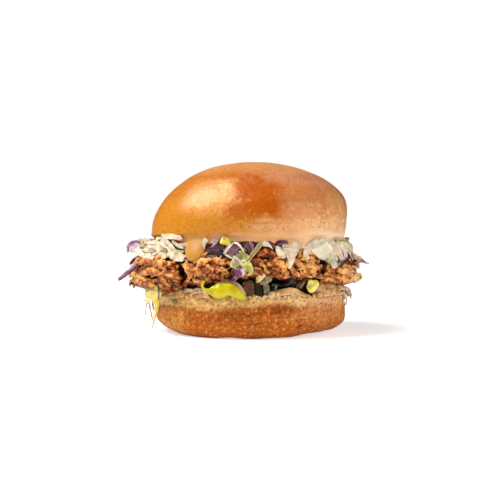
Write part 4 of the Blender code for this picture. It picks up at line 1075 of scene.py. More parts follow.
def lay_shreds(name, material, table, rows, columns, seed):
    """One mesh of shreds on the cover, from a table of (kind, width, tip, cup, first and last twist
    in radians, and four points: angle, height and distance off the cover). Each point of a path is
    averaged with the one before it, and the path is bent a little by noise."""
    curve = smooth_paths(np.array([row[6:] for row in table]), rows)
    paths = laid(curve[..., 0], curve[..., 1], curve[..., 2])
    paths = (paths + np.concatenate([paths[:, :1], paths[:, :-1]], axis=1)) / 2
    paths = paths + 0.3 * np.stack([noise(paths / 5.0 + 9.0 * k, seed + k) for k in range(3)], axis=-1)
    return shreds_along(name, material, table, paths, (0.15, 0.5, 0.85), 0.10, 14.0, columns, seed)


def flat_heap(outline, rounding, steps):
    """The rows of a flat heap: their radii, inside an outline whose side is half an ellipse that
    reaches in by rounding, and their levels, from 1 at the top to -1 at the bottom."""
    bend = np.radians(np.linspace(90, -90, steps))[:, None]
    face = [outline * share for share in (0.05, 0.5, 0.8)]
    radius = np.concatenate([*face, outline - rounding + rounding * np.cos(bend), *face[::-1]])
    return radius, np.concatenate([np.ones((3, 1)), np.sin(bend), -np.ones((3, 1))])


# Shreds of the slaw that show from the front: kind, width, tip, cup, twists and four points: angle,
# height and distance off the cover
SLAW_SHREDS = (
    # left clump
    ("cream", 6.6, 0.8, 0.1, 0, 0,
     (-75.2, 47.2, 4.5), (-66.2, 45.9, 3.4), (-60.1, 44.4, 2.6), (-53.9, 42.7, 2)),
    ("cream", 6.4, 0.7, 0.12, 0, 0,
     (-69.2, 43.5, 4.6), (-63.8, 41.8, 3.6), (-57.9, 40.8, 3), (-48.3, 40.7, 2.6)),
    ("cream", 5, 0.8, 0.12, 0.1, 0,
     (-64.5, 47.2, 3.2), (-59, 46.5, 2.8), (-53.8, 44.4, 2.6), (-49.8, 41.4, 2.4)),
    ("cream", 3.6, 0.7, 0.1, 0, 0,
     (-60.7, 48.8, 2.2), (-56, 50.7, 2.4), (-46.8, 51, 2.6), (-39, 50, 2.4)),
    ("white", 3, 0.7, 0.1, 0, 0.2,
     (-61.3, 49.3, 2.4), (-55.9, 49, 2.2), (-51.7, 47, 2.6), (-47.5, 43.7, 3)),
    ("white", 2.4, 0.6, 0, 0, 0.3,
     (-52.4, 48.8, 2.6), (-47.5, 46.3, 3), (-44.3, 43.8, 3.2), (-39.4, 40.3, 3.2)),
    ("pink", 2.2, 0.6, 0.1, 0.2, 0,
     (-68.5, 47.7, 4.4), (-64.8, 48.1, 3.6), (-61.2, 47.6, 3), (-57.9, 47.2, 2.4)),
    ("green", 2.2, 0.6, 0, 0, 0,
     (-67.4, 49, 5.2), (-68.6, 46.9, 5.4), (-70.3, 44.6, 5.4), (-70, 42, 4.8)),
    ("green", 2, 0.6, 0.1, 0.2, 0,
     (-54.3, 45.7, 3.4), (-51.9, 44, 3.6), (-50.8, 42.2, 3.4), (-46.8, 40.2, 3)),
    ("white", 1.6, 0.6, 0, 0.3, 0.2,
     (-55.3, 47.8, 3.2), (-50.8, 45.7, 3.4), (-47.1, 43.2, 3.4), (-42.4, 40.8, 3)),
    ("pink", 1.7, 0.6, 0, 0, 0.2,
     (-47.5, 48.8, 2.4), (-44.3, 47.5, 2.6), (-41.4, 46, 2.6), (-38.9, 44.8, 2.2)),
    ("hole", 1.5, 0.5, 0, 0, 0,
     (-48.3, 47.8, 2.4), (-45.4, 46.3, 2.6), (-42.6, 45, 2.8), (-39.2, 44.3, 2.6)),
    ("cream", 3.6, 0.8, 0.1, 0, 0,
     (-49.6, 43.2, 3.2), (-44.5, 41.3, 3.4), (-40.4, 40, 3.6), (-36.9, 39.5, 3.2)),
    ("lime", 2, 0.6, 0.1, 0.2, 0,
     (-46.6, 44.2, 3.2), (-43.4, 43.5, 3.4), (-40.8, 43.3, 3.2), (-38.5, 43.3, 2.6)),
    ("cream", 2.6, 0.6, 0.1, 0, 0,
     (-45.6, 42.9, 3.4), (-41.8, 41.9, 3.6), (-39, 41.3, 3.6), (-36.6, 40.6, 3)),
    ("white", 1.5, 0.6, 0, 0, 0,
     (-63.3, 40.5, 3.4), (-56.8, 42.9, 3.8), (-52.9, 45.5, 3.4), (-50.1, 47.8, 2.8)),
    ("cream", 6, 0.7, 0.1, 0.6, 0.3,
     (-71.1, 45.6, 6.2), (-68.6, 43.8, 5.4), (-65.3, 42, 4.6), (-60.8, 40.5, 3.8)),
    ("pink", 3, 0.7, 0.1, 0.5, 0.3,
     (-68.9, 44.1, 5.8), (-66.9, 42.2, 5.2), (-63.6, 40.8, 4.6), (-55.3, 39.8, 3.6)),
    ("violet", 2.6, 0.6, 0.16, 1.2, 1.2,
     (-70.4, 47.9, 4.6), (-73.9, 48.1, 7), (-76.5, 46.1, 9), (-79.5, 42.4, 8.8)),
    ("lilacwhite", 3.8, 0.5, 0.1, 1.1, 1.1,
     (-69.5, 46.2, 5), (-72.6, 45.8, 6.2), (-76.1, 44.7, 7), (-79.4, 42.6, 7)),
    ("violet", 2.6, 0.7, 0, 1.4, 1.4,
     (-71.5, 37.7, -1.5), (-65.1, 34.5, 4.5), (-64.3, 31.6, 9), (-65.9, 28.4, 12.5)),
    ("purple", 0.9, 0.7, 0, 1.4, 1.4,
     (-66.1, 35, 2.5), (-63, 32.7, 7), (-63.3, 30.5, 10), (-65.1, 28.3, 12.4)),
    # front
    ("cream", 2.6, 0.2, 0, 0, 0,
     (-23.5, 50, 3), (-24.6, 48.3, 3.4), (-25.1, 46.6, 3.4), (-25.1, 44.7, 2.6)),
    ("lilac", 3.2, 0.6, 0.1, 0.2, 0,
     (-22.6, 46.3, 1.4), (-20.3, 47.8, 1.8), (-18.5, 49.3, 1.8), (-16.7, 50.8, 1.2)),
    ("dark", 2, 0.7, 0.08, 0.2, 0,
     (-26.9, 45.5, 1.4), (-21.8, 46.6, 1.8), (-17.1, 46.8, 1.8), (-12.1, 46.2, 1.4)),
    ("purple", 1.9, 0.7, 0.08, 0, 0.3,
     (-26.5, 44.3, 1.6), (-21.7, 44.9, 2), (-17, 45.2, 2), (-12.1, 45.3, 1.6)),
    ("dark", 1.8, 0.7, 0.08, 0.2, 0.2,
     (-26.1, 43.4, 1.6), (-21.1, 43.7, 2), (-17, 44.1, 2), (-12.6, 44.2, 1.6)),
    ("hole", 3.6, 0.8, 0.1, 0, 0,
     (-20.4, 40.9, 1.4), (-17.4, 42.1, 2), (-14.7, 42.2, 2.2), (-12.6, 41.3, 1.8)),
    ("dark", 1.7, 0.7, 0.08, 0, 0,
     (-26.3, 42.4, 1.8), (-22.2, 42.4, 2.2), (-18.1, 43.2, 2.2), (-14.9, 43.9, 1.6)),
    ("purple", 1.7, 0.7, 0.08, 0.3, 0,
     (-25, 41.1, 1.4), (-20.9, 41.1, 1.8), (-17.7, 42, 1.8), (-14.4, 42.6, 1.4)),
    ("yellow", 4.4, 0.8, 0.1, 0.2, 0,
     (-16, 49.1, 2.6), (-13.9, 49, 3), (-11.7, 48.3, 3), (-9.9, 47.8, 2.6)),
    ("plum", 5.6, 0.8, 0.12, 0, 0.1,
     (-12.8, 42.2, 2.8), (-10.6, 44.2, 3.2), (-8.1, 46, 3.2), (-5.9, 47.5, 2.4)),
    ("dark", 2.6, 0.7, 0.1, 0.1, 0,
     (-11.9, 41, 2.4), (-9, 42.5, 2.8), (-6.4, 43.7, 2.8), (-4, 44.9, 2.2)),
    ("white", 1.3, 0.6, 0, 0, 0,
     (-14, 42.5, 3.6), (-11.9, 44.6, 4.2), (-10.1, 46.4, 4.2), (-7.9, 48.3, 3.4)),
    ("white", 1.3, 0.6, 0, 0, 0,
     (-8.4, 48.1, 3.6), (-6.2, 47.4, 4.2), (-4.4, 45.7, 4.4), (-2.9, 43.2, 4)),
    ("white", 1.2, 0.6, 0.1, 0, 0,
     (-13.3, 42.3, 3.2), (-11.2, 41.2, 3.6), (-9.5, 40.4, 3.6), (-7.7, 40, 3.2)),
    ("dark", 3.2, 0.7, 0.1, 0, 0,
     (-3, 48, 1.8), (-1.3, 45.9, 2.2), (-0.3, 43.4, 2.4), (-1.8, 40.3, 2)),
    ("purple", 2.4, 0.7, 0.12, 0, 0,
     (-2.4, 47.5, 2.6), (-0.7, 46.1, 3), (0.3, 44.1, 3), (0.2, 42, 2.4)),
    ("dark", 2.4, 0.7, 0.1, 0.2, 0,
     (1.1, 48.5, 2.2), (2.8, 46.7, 2.6), (2.8, 44.4, 2.6), (0.9, 42, 2.2)),
    ("lilac", 1.4, 0.7, 0, 0, 0,
     (-0.5, 48.3, 3), (1, 47.1, 3.2), (1.6, 45.4, 3.2), (1.1, 43.4, 2.8)),
    ("khaki", 2.2, 0.8, 0.14, 0.2, 0,
     (6.4, 48.3, 2.4), (3.9, 45.1, 3.6), (0.9, 41.5, 4.2), (-2, 37.9, 4.2)),
    ("green", 7, 0.8, 0.16, 0, 0.2,
     (-2.1, 43, 3), (-4.8, 40.5, 3.6), (-6.7, 38.1, 4), (-8.2, 35, 3.6)),
    ("lime", 4.8, 0.8, 0.14, 0, -0.2,
     (-4.2, 39.1, 3.8), (-1.7, 37.4, 4.6), (-0.2, 35.3, 4.6), (-0.7, 32, 4)),
    ("white", 1.4, 0.6, 0.1, 0.2, 0,
     (-8.8, 41.5, 4), (-6.2, 39.8, 4.6), (-4, 37.7, 4.8), (-2.2, 34.8, 4.6)),
    ("wedge", 4.8, 0.8, 0.1, 0, 0,
     (-3.4, 35.7, 3.4), (-5.7, 33.9, 4), (-7.9, 32, 4), (-11.2, 29.4, 3.2)),
    ("lilacwhite", 2.8, 0.6, 0.1, 0, 0,
     (-3.5, 35.5, 4), (-3.6, 33.5, 4.4), (-5.8, 31.5, 4.4), (-9.5, 28.7, 3.8)),
    ("white", 3, 0.24, 0.1, 0, 0,
     (6.3, 47.6, 1.8), (8.4, 47.3, 2.4), (10.5, 46.4, 2.6), (13, 44.5, 2.2)),
    ("dark", 1.8, 0.6, 0.08, 0, 0.2,
     (9.2, 48.5, 1.8), (11.1, 46.9, 2.2), (13.2, 44.9, 2.2), (15.4, 42.9, 1.8)),
    ("purple", 1.2, 0.6, 0, 0, 0,
     (10.3, 48.5, 2.2), (12.1, 47, 2.6), (13.9, 45.4, 2.6), (15.8, 43.4, 2.2)),
    ("dark", 2.2, 0.6, 0.08, 0.2, 0,
     (12.1, 45.4, 1.6), (15.1, 47, 2), (18.5, 47.6, 2), (22.6, 47.3, 1.4)),
    ("purple", 1.6, 0.6, 0.08, 0, 0,
     (13.8, 44.1, 1.6), (16.5, 45.6, 2), (19.3, 46.2, 2), (22.6, 45.8, 1.4)),
    # right
    ("cream", 8.4, 0.2, 0.16, -0.2, -0.4,
     (21.2, 48, 1.8), (22.2, 44.7, 3.4), (21.6, 40.5, 4), (19.7, 34.7, 3)),
    ("cream", 5.2, 0.7, 0.14, 0, 0,
     (17.1, 45.7, 2.4), (16.5, 44.1, 3), (17.4, 42.2, 3.2), (18.4, 40.1, 2.8)),
    ("purple", 2.6, 0.7, 0.08, 0, 0,
     (14.1, 47.3, 2.4), (16.2, 48.3, 2.8), (18.4, 48.3, 2.8), (21.5, 47.6, 2.4)),
    ("pink", 2, 0.7, 0.1, 0.3, 0.3,
     (25, 44.9, 2.6), (28.9, 46.1, 2.8), (32.5, 45.7, 2.8), (38.1, 46.5, 2)),
    ("cream", 4, 0.75, 0.14, -0.3, -0.4,
     (37.7, 47, 2.4), (32.8, 45.1, 3.2), (31.3, 42.4, 3.4), (31.3, 39.2, 3)),
    ("cream", 4.6, 0.8, 0.1, 0, 0,
     (35.7, 46.3, 1.8), (39.7, 47.4, 2.6), (45.7, 47.5, 3), (55.1, 46.9, 2.6)),
    ("leaf", 10, 0.3, 0.12, -0.5, -0.7,
     (39.2, 48, 2.4), (41.8, 44.8, 3.8), (48.2, 40.5, 4.4), (45.5, 34.4, 4)),
    ("cream", 5.6, 0.5, 0.12, -0.5, -0.7,
     (43.7, 48, 2.6), (47.2, 45.6, 3.8), (50.9, 42.5, 4.4), (56.4, 38.2, 4.2)),
    ("white", 3.4, 0.4, 0.1, -0.6, -0.7,
     (46.6, 44.2, 3.6), (48.4, 41.4, 4.2), (52.1, 38.6, 4.4), (46.1, 35.1, 4)),
    ("green", 2.2, 0.6, 0.1, 0.1, 0.1,
     (47.4, 48.5, 2.8), (47.9, 45.8, 3.8), (48.7, 42.9, 4.4), (50.9, 40.1, 4.4)),
    ("lime", 1.9, 0.7, 0.1, 0, 0,
     (46.3, 39.3, 5.2), (44.9, 39, 5.4), (48.5, 39.2, 5.4), (50.4, 39.8, 5.2)),
    ("cream", 5, 0.5, 0.12, -0.6, -0.8,
     (50.2, 47.8, 2.4), (53.9, 45.4, 3.6), (58.2, 42.4, 4.2), (62.6, 38.1, 4)),
    ("white", 4.4, 0.5, 0.12, -0.7, -0.8,
     (56.7, 47.5, 2.4), (61.6, 45.5, 3.4), (65, 43.1, 4), (68.4, 40.2, 4)),
    ("white", 2, 0.6, 0.1, 0, 0,
     (56.3, 47.4, 2.6), (60.9, 45.2, 3.4), (64, 42.7, 3.8), (67, 39.9, 3.4)),
    ("tanleaf", 4.8, 0.7, 0.14, 0.1, -0.3,
     (55.9, 48, 1.6), (62.9, 48.1, 2.4), (70.1, 46.9, 3.2), (90, 43.8, 4.1)),
    ("tanleaf", 4.4, 0.7, 0.14, -0.4, -0.6,
     (59.2, 45.7, 2.4), (64.9, 46.3, 3.2), (71.7, 44.8, 3.8), (79.6, 41.5, 3.8)),
    ("green", 1.6, 0.6, 0.1, 0.2, 0,
     (57.5, 48.7, 2.6), (63.6, 48.9, 3.2), (69.9, 47.9, 3.8), (79.7, 45.8, 4)),
    ("lilac", 3, 0.6, 0.1, 0.1, 0.1,
     (64.9, 44.3, 3.2), (69.6, 42.2, 3.8), (66.4, 39, 4), (50.9, 36.3, 3.4)),
    ("dark", 1.3, 0.6, 0.1, 0, 0,
     (67.8, 43, 4.2), (70.4, 40.9, 4.4), (65.4, 38.3, 4.6), (50.2, 35.9, 4)),
    ("white", 1.8, 0.6, 0.1, 0.1, 0,
     (66.4, 44.6, 4.2), (69.8, 42.7, 4.6), (72.7, 40.5, 4.8), (76.6, 38.4, 5)),
    ("pink", 6, 0.14, 0.14, 1.3, 1.3,
     (76.2, 41.8, 4), (90, 39.1, 6), (90, 37.8, 8.8), (75.1, 36.6, 10.5)),
    ("pink", 4.8, 0.4, 0.1, 1.2, 1.2,
     (75.3, 40.3, 4.4), (80.7, 38, 5.4), (69.4, 36.5, 6.2), (63.3, 34.6, 7)),
    ("lilacwhite", 1.5, 0.3, 0, 1.3, 1.3,
     (76.5, 42.3, 4.8), (90, 39.5, 7.3), (90, 37.5, 10.1), (71.7, 36.3, 10.8)),
)


# Loose shreds at random: how many, their angles and heights, the share of each kind, their widths
# and lengths, the spread of their slopes in degrees, and how far off the cover they start
# The dark kind in these is painted shade in the gaps between shreds; the shreds behind those in front are
# mostly of it
ALL_KINDS = {"white": 0.52, "green": 0.16, "purple": 0.16, "dark": 0.11, "lime": 0.05}
DARK_KINDS = {"dark": 0.42, "purple": 0.28, "lilac": 0.1, "green": 0.08, "white": 0.12}
PALE_KINDS = {"white": 0.79, "green": 0.19, "purple": 0.02}
LOOSE_SLAW = (
    # round the sides and the back
    (190, (62, 262), (42.6, 48.6), ALL_KINDS, (1.2, 3.4), (8, 20), 20, (-0.8, 1.6)),
    # behind those in front, mostly near black shreds of painted shade
    (52, (-32, 34), (42.4, 47.2), DARK_KINDS, (1.0, 2.4), (7, 15), 22, (-1.2, 0.6)),
    # hanging over the fillet
    (60, (95, 262), (36.0, 47.5), ALL_KINDS, (2.2, 5.5), (9, 17), 55, (1.6, 3.2)),
    # spilled out at the left
    (70, (-104, -42), (41.0, 48.4), PALE_KINDS, (1.4, 3.6), (8, 18), 24, (-0.5, 2.2)),
)
LOOSE_RADIUS = 52.0  # where they lie, to turn a length into degrees


def loose_table(dice, count, angles, heights, kinds, widths, lengths, slope, off):
    """A table of loose shreds at random places: each leans from level by an angle from a bell
    curve of the given slope in degrees, and bows a little."""
    table = []
    for _ in range(count):
        angle, z = dice.uniform(*angles), dice.uniform(*heights)
        length, lean = dice.uniform(*lengths), math.radians(dice.normal(0.0, slope))
        across = math.degrees(length * math.cos(lean) / LOOSE_RADIUS) * dice.choice([-1, 1])
        rise = length * math.sin(lean)
        start = dice.uniform(*off)
        points = []
        for share in (0.0, 0.33, 0.67, 1.0):
            points.append((
                angle + across * (share - 0.5) + dice.normal(0.0, 1.2),
                float(np.clip(z + rise * (share - 0.5), heights[0] - 2.5, heights[1] + 0.8)),
                start + math.sin(share * math.pi) * dice.uniform(-0.3, 1.3),
            ))
        kind = dice.choice(list(kinds), p=list(kinds.values()))
        table.append((kind, dice.uniform(*widths), dice.uniform(0.3, 0.9), dice.uniform(0.0, 0.16),
                      dice.normal(0, 0.5), dice.normal(0, 0.5), *points))
    return table


def make_slaw_core(material):
    """The mass of the slaw behind its shreds: a flat round heap from the fillet to the sauce, which spills
    over the fillet's left end, with strands raised by noise drawn out along them. Its dark tint, darkest
    between the strands, is painted shade."""
    angle = np.linspace(-180.0, 180.0, 480, endpoint=False)[None]
    outline = SLAW_RADIUS - 1.6 + 0.9 * np.sin(np.radians(7 * angle)) + (SLAW_SPILL - 0.5) * slaw_spill(angle)
    radius, level = flat_heap(outline, 2.5, 40)
    grid = polar(angle, radius, 0.0)
    top, bottom = SAUCE_BOTTOM + 0.4, fillet_top(grid[..., 0]) - 0.8
    grid[..., 2] = (top + bottom) / 2 + level * (top - bottom) / 2
    out = normals_of(grid)
    moved = warped(grid, 7.0, 2.6, 91)
    strands = 1.0 - 2.2 * np.abs(noise(moved / [5.0, 5.0, 1.5], 92))
    depth = (1.2 * strands + 0.9 * noise(grid / 5.0, 93)) * smoothstep(0.75, 0.95, radius / outline)
    grid = grid + out * depth[..., None]
    # Dark over all and darker between the strands: painted shade of the mass behind the shreds
    shade = np.clip(0.5 + 0.5 * strands, 0, 1)[..., None]
    tint = mix(colour("#2C1810"), colour("#B79A78"), shade**1.5)
    violet = smoothstep(0.0, 0.4, noise(grid / 7.0, 94))[..., None]
    tint = mix(tint, mix(colour("#1E0E1C"), colour("#7C5573"), shade), 0.8 * violet)
    tint = mix(tint, colour("#D8C09A"), 0.75 * bump(angle, 54, 22)[..., None])
    return closed_piece("slaw_heap", grid, material, tint)


def make_slaw(material):
    """The slaw's heap, its shreds in front, as listed, and the rest all round at random."""
    dice = np.random.default_rng(5)
    loose = [shred for row in LOOSE_SLAW for shred in loose_table(dice, *row)]
    return (
        make_slaw_core(material),
        lay_shreds("slaw_front_shreds", material, SLAW_SHREDS, 26, 12, 101),
        lay_shreds("slaw_loose_shreds", material, loose, 16, 8, 111),
    )


# The bed ----------------------------------------------------------------------------------------


def bed_outline(angle):
    """The bed's edge, as in the solid: drawn in at the front, where the pickles show."""
    wave = 1.0 * np.sin(np.radians(6 * angle)) + 0.7 * np.sin(np.radians(11 * angle + 30))
    return BED_RADIUS + wave - 12.0 * smoothstep(0.25, 0.75, bump(angle, 14, 34))


def make_bed_core(material):
    """The mass of the bed: a flat heap between the heel and the fillet, crumpled by noise, and tinted near
    black, darkest in the grooves of its folds, which is painted shade.
    """
    angle = np.linspace(-180.0, 180.0, 420, endpoint=False)[None]
    outline = bed_outline(angle)
    radius, level = flat_heap(outline, 1.0, 30)
    grid = polar(angle, radius, 0.0)
    top, bottom = fillet_bottom(grid[..., 0]) - 0.6, HEEL_HEIGHT + 0.2
    grid[..., 2] = (top + bottom) / 2 + level * (top - bottom) / 2
    out = normals_of(grid)
    folds = 1.0 - 2.0 * np.abs(noise(warped(grid, 6.0, 2.0, 121) / [4.5, 4.5, 2.0], 122))
    grid = grid + out * (1.2 * folds * smoothstep(0.75, 0.95, radius / outline))[..., None]
    # Near black, darker in the grooves: painted shade between the heel and the fillet
    tint = mix(colour("#16120A"), colour("#6E6638"), np.clip(0.5 * folds, 0, 1)[..., None])
    return closed_piece("lettuce_heap", grid, material, tint)


# Shreds and leaves of the bed: kind, width, tip, cup, twists and four points: angle, height and
# radius
BED_SHREDS = (
    # left, over the heel's edge
    ("limetan", 5.2, 0.75, 0.1, 0.4, 0.4,
     (-63.6, 25.5, 59), (-60.6, 22.8, 60), (-60.3, 20, 60), (-62.9, 16.5, 59.6)),
    ("limetan", 5.2, 0.85, 0.1, 0.3, 0.3,
     (-57.4, 25.7, 58), (-56.2, 23.3, 59), (-55.6, 20.2, 59), (-57.4, 17, 58.6)),
    ("limetan", 3.8, 0.8, 0.1, 0.3, 0.3,
     (-55.3, 24.7, 56), (-54.1, 22.3, 57), (-54.4, 19.7, 57.4), (-55.4, 17.1, 57.4)),
    ("cream", 2.4, 0.7, 0.1, 0.8, 0.5,
     (-90, 15.9, 58.4), (-80.3, 17.3, 55.6), (-71.4, 18, 54.6), (-66.7, 17.6, 53.6)),
    ("goldstrand", 3.4, 0.16, 0.12, 0.3, 0.3,
     (-54.3, 19.8, 58), (-54.1, 15.7, 58.4), (-56.2, 10, 58.4), (-60, 3.2, 58.4)),
    ("lilacwhite", 1.1, 0.5, 0, 0.8, 0.8,
     (-90, 15.3, 56.6), (-90, 13.1, 56.8), (-90, 10.4, 57.2), (-90, 7.7, 57.4)),
    ("pink", 1.3, 0.5, 0, 0.8, 0.8,
     (-78.3, 16.1, 55.2), (-75.4, 13.1, 55), (-72.3, 10.2, 54.8), (-69.9, 6.6, 54.4)),
    # left, on the heel's top edge
    ("soaked", 6.4, 0.6, 0.05, 0.3, 0.1,
     (-80, 21.3, 50.8), (-57.1, 22.5, 51.6), (-47.5, 21.9, 51.7), (-39.7, 22.6, 51.2)),
    ("greytan", 3.4, 0.6, 0.05, 0.1, 0.1,
     (-54.4, 21.1, 51.8), (-50.9, 19.7, 52), (-48, 18.3, 52), (-46.4, 16.8, 51.8)),
    ("tan", 2.4, 0.6, 0.1, 0.3, 0.1,
     (-60.2, 24.4, 52), (-53.3, 25.5, 52.4), (-47.4, 25.4, 52.4), (-42.8, 24.3, 52)),
    ("pinktan", 3, 0.7, 0.1, 0.3, 0.1,
     (-37.2, 21.9, 50.6), (-32.1, 23.8, 51.6), (-26.6, 24.2, 52), (-22.3, 22.4, 52)),
    ("soaked", 2.6, 0.6, 0.1, 0.3, 0.1,
     (-34.7, 20.3, 51), (-29.9, 21.6, 51.8), (-25.9, 21.8, 52), (-22, 20.7, 52)),
    ("pinktan", 2.2, 0.6, 0.1, 0.3, 0.1,
     (-43.7, 23, 50.6), (-38.9, 23.9, 51.2), (-34.3, 24, 51.4), (-31, 23.2, 51.2)),
    # middle
    ("pinktan", 4.4, 0.6, 0.16, 0.1, 0.2,
     (-18.6, 26.6, 49.5), (-12.7, 27.8, 50.5), (-7.1, 26.5, 51.5), (-2.4, 21.9, 52)),
    ("brownleaf", 5.8, 0.9, 0.1, 0, 0,
     (-1.2, 29.3, 46.5), (-1, 27.1, 47), (-0.7, 24.6, 47.5), (-0.6, 21.2, 48)),
    ("olive", 4.4, 0.9, 0.1, 0.2, 0,
     (5.5, 28.9, 44.5), (5.3, 26.4, 45), (5.3, 24, 46), (5.4, 20.6, 47)),
    ("hole", 1.5, 0.9, 0, 0, 0,
     (3.2, 29, 45.6), (3.2, 26.5, 46), (3.4, 24.1, 47), (3.3, 21.2, 48)),
    ("greytan", 3.1, 0.9, 0.1, 0.1, 0,
     (9.9, 28, 46.5), (9.8, 26, 47), (9.8, 23.9, 48), (9.6, 21.2, 49)),
    ("hole", 1.2, 0.9, 0, 0, 0,
     (7.9, 28.5, 46), (7.8, 26, 46.6), (7.8, 23.9, 47.6), (7.6, 21.2, 48.4)),
    ("wedgecream", 2.8, 0.8, 0.05, 0.1, 0,
     (3.2, 28.8, 51.5), (4.5, 30.1, 52.4), (6, 31.3, 52.8), (7.8, 32.7, 52.8)),
    ("greytan", 3.4, 0.9, 0.05, 0.1, 0,
     (5.2, 28.1, 50.5), (7.1, 29, 51.2), (9.3, 29.9, 51.6), (12.1, 31, 51.4)),
    ("greenwhite", 1.3, 0.7, 0.05, 0.2, 0,
     (15.9, 27.5, 48), (15.3, 26.4, 48.6), (15, 25.3, 49), (14.5, 24.1, 49.4)),
    ("dark", 3.4, 0.8, 0.1, 0.3, 0,
     (21, 27.6, 46), (24, 28.5, 46.6), (28.1, 28.6, 46.8), (31.9, 27.5, 46.6)),
    ("breadtan", 3.6, 0.9, 0.05, 0.5, 0.3,
     (10.1, 21, 50.4), (16.8, 23.2, 51), (24.6, 23.9, 51.2), (34.7, 21.3, 51)),
    ("olive", 2.8, 0.8, 0.1, 0.2, 0,
     (29.6, 24.8, 47.6), (31, 26.3, 48.2), (32.4, 27.5, 48.6), (34.5, 29.2, 48.4)),
    ("tan", 1.2, 0.6, 0, 0.2, 0,
     (30.5, 25.3, 48.8), (31.6, 26.5, 49.2), (32.9, 27.8, 49.4), (34.4, 29, 49.2)),
    # right
    ("breadtan", 5.2, 0.8, 0.12, 0.3, 0.1,
     (41.9, 23.5, 48.6), (47.1, 25.1, 49.4), (52.9, 25.1, 50.2), (61.8, 23.1, 50.8)),
    ("soaked", 2.6, 0.7, 0.1, 0.3, 0.1,
     (44, 26.5, 49), (48.7, 26.8, 49.6), (54, 26.5, 50.2), (60.8, 25.2, 50.6)),
    ("peach", 4.6, 0.8, 0.1, 0.6, 0.6,
     (56.8, 23.7, 50), (61.8, 24.7, 50.8), (68.1, 24.6, 51.6), (90, 21.9, 53.2)),
    ("peach", 3, 0.7, 0.1, 0.4, 0.6,
     (44, 21.5, 51), (50.5, 22, 51.6), (60.2, 21.8, 52), (90, 19.7, 52.6)),
    ("lilacwhite", 4, 0.3, 0.1, 1.3, 1.3,
     (76.9, 24.4, 51.6), (79.3, 22.2, 53.2), (79, 20.1, 54.4), (82, 17.5, 55)),
    ("lime", 1.6, 0.4, 0.1, 1.3, 1.3,
     (90, 22.4, 53.4), (90, 20.6, 54.6), (77.2, 19.6, 55.2), (75, 17.7, 55.8)),
)


def lay_bed(name, material, table, rows, columns, seed):
    """One mesh of the bed's shreds, from a table as for lay_shreds with radii in place of distances."""
    curve = smooth_paths(np.array([row[6:] for row in table]), rows)
    paths = polar(curve[..., 0], curve[..., 2], curve[..., 1])
    return shreds_along(name, material, table, paths, (0.24, 0.6, 1.1), 0.12, 6.0, columns, seed)


LOOSE_BED_SHREDS = 104


def loose_bed_table(dice):
    """Shreds at random round the bed's edge, clear of its drawn-in front: three in four lie level
    between the heel and the fillet, and the others hang over the heel's edge."""
    table = []
    for number in range(LOOSE_BED_SHREDS):
        angle = dice.uniform(75, 286)
        kind = dice.choice(["white", "green", "lime", "tan"], p=[0.4, 0.36, 0.12, 0.12])
        turn = dice.uniform(-12, 12)
        if number % 4:
            z, radius = dice.uniform(22.6, 25.6), dice.uniform(44.0, 50.5)
            points = [(angle + turn * k, z + dice.uniform(-0.8, 0.8), radius + 1.5 * math.sin(3 * k))
                      for k in (0, 0.33, 0.67, 1)]
        else:
            low = dice.uniform(8.0, 19.0)
            points = [(angle, 23.4, 45.0), (angle + 0.2 * turn, 23.2, 50.0),
                      (angle + 0.6 * turn, (21 + low) / 2, 53.2), (angle + turn, low, 53.0)]
        table.append((kind, dice.uniform(1.4, 4.6), dice.uniform(0.3, 0.8), dice.uniform(0, 0.15),
                      dice.normal(0, 0.35), dice.normal(0, 0.35), *points))
    return table


def make_bed(material):
    """The bed's heap, its shreds in front, as listed, and the rest at random."""
    dice = np.random.default_rng(9)
    return (
        make_bed_core(material),
        lay_bed("bed_front_shreds", material, BED_SHREDS, 24, 12, 131),
        lay_bed("bed_loose_shreds", material, loose_bed_table(dice), 16, 8, 141),
    )


# Centre lines of the peppers from the thin end: x, y, z and the radius there
LONG_PEPPER = (
    (-21.9, -53.4, 29.6, 0.7), (-23.2, -53.6, 27.7, 0.6), (-22.7, -53.6, 25.7, 0.7),
    (-20.4, -53.8, 24.6, 1.1), (-18.0, -54.0, 24.3, 2.6), (-15.3, -54.6, 24.4, 3.9),
    (-12.6, -54.8, 24.9, 3.4), (-9.9, -55.2, 25.2, 2.8), (-7.2, -55.6, 23.9, 2.4),
    (-4.4, -55.8, 22.0, 1.9), (-1.6, -55.8, 20.8, 1.3),
)
SHORT_PEPPER = (
    (33.4, -42.0, 29.0, 0.8), (32.2, -43.4, 27.4, 2.3), (30.2, -44.6, 26.0, 2.7), (28.4, -45.4, 25.2, 1.6),
)


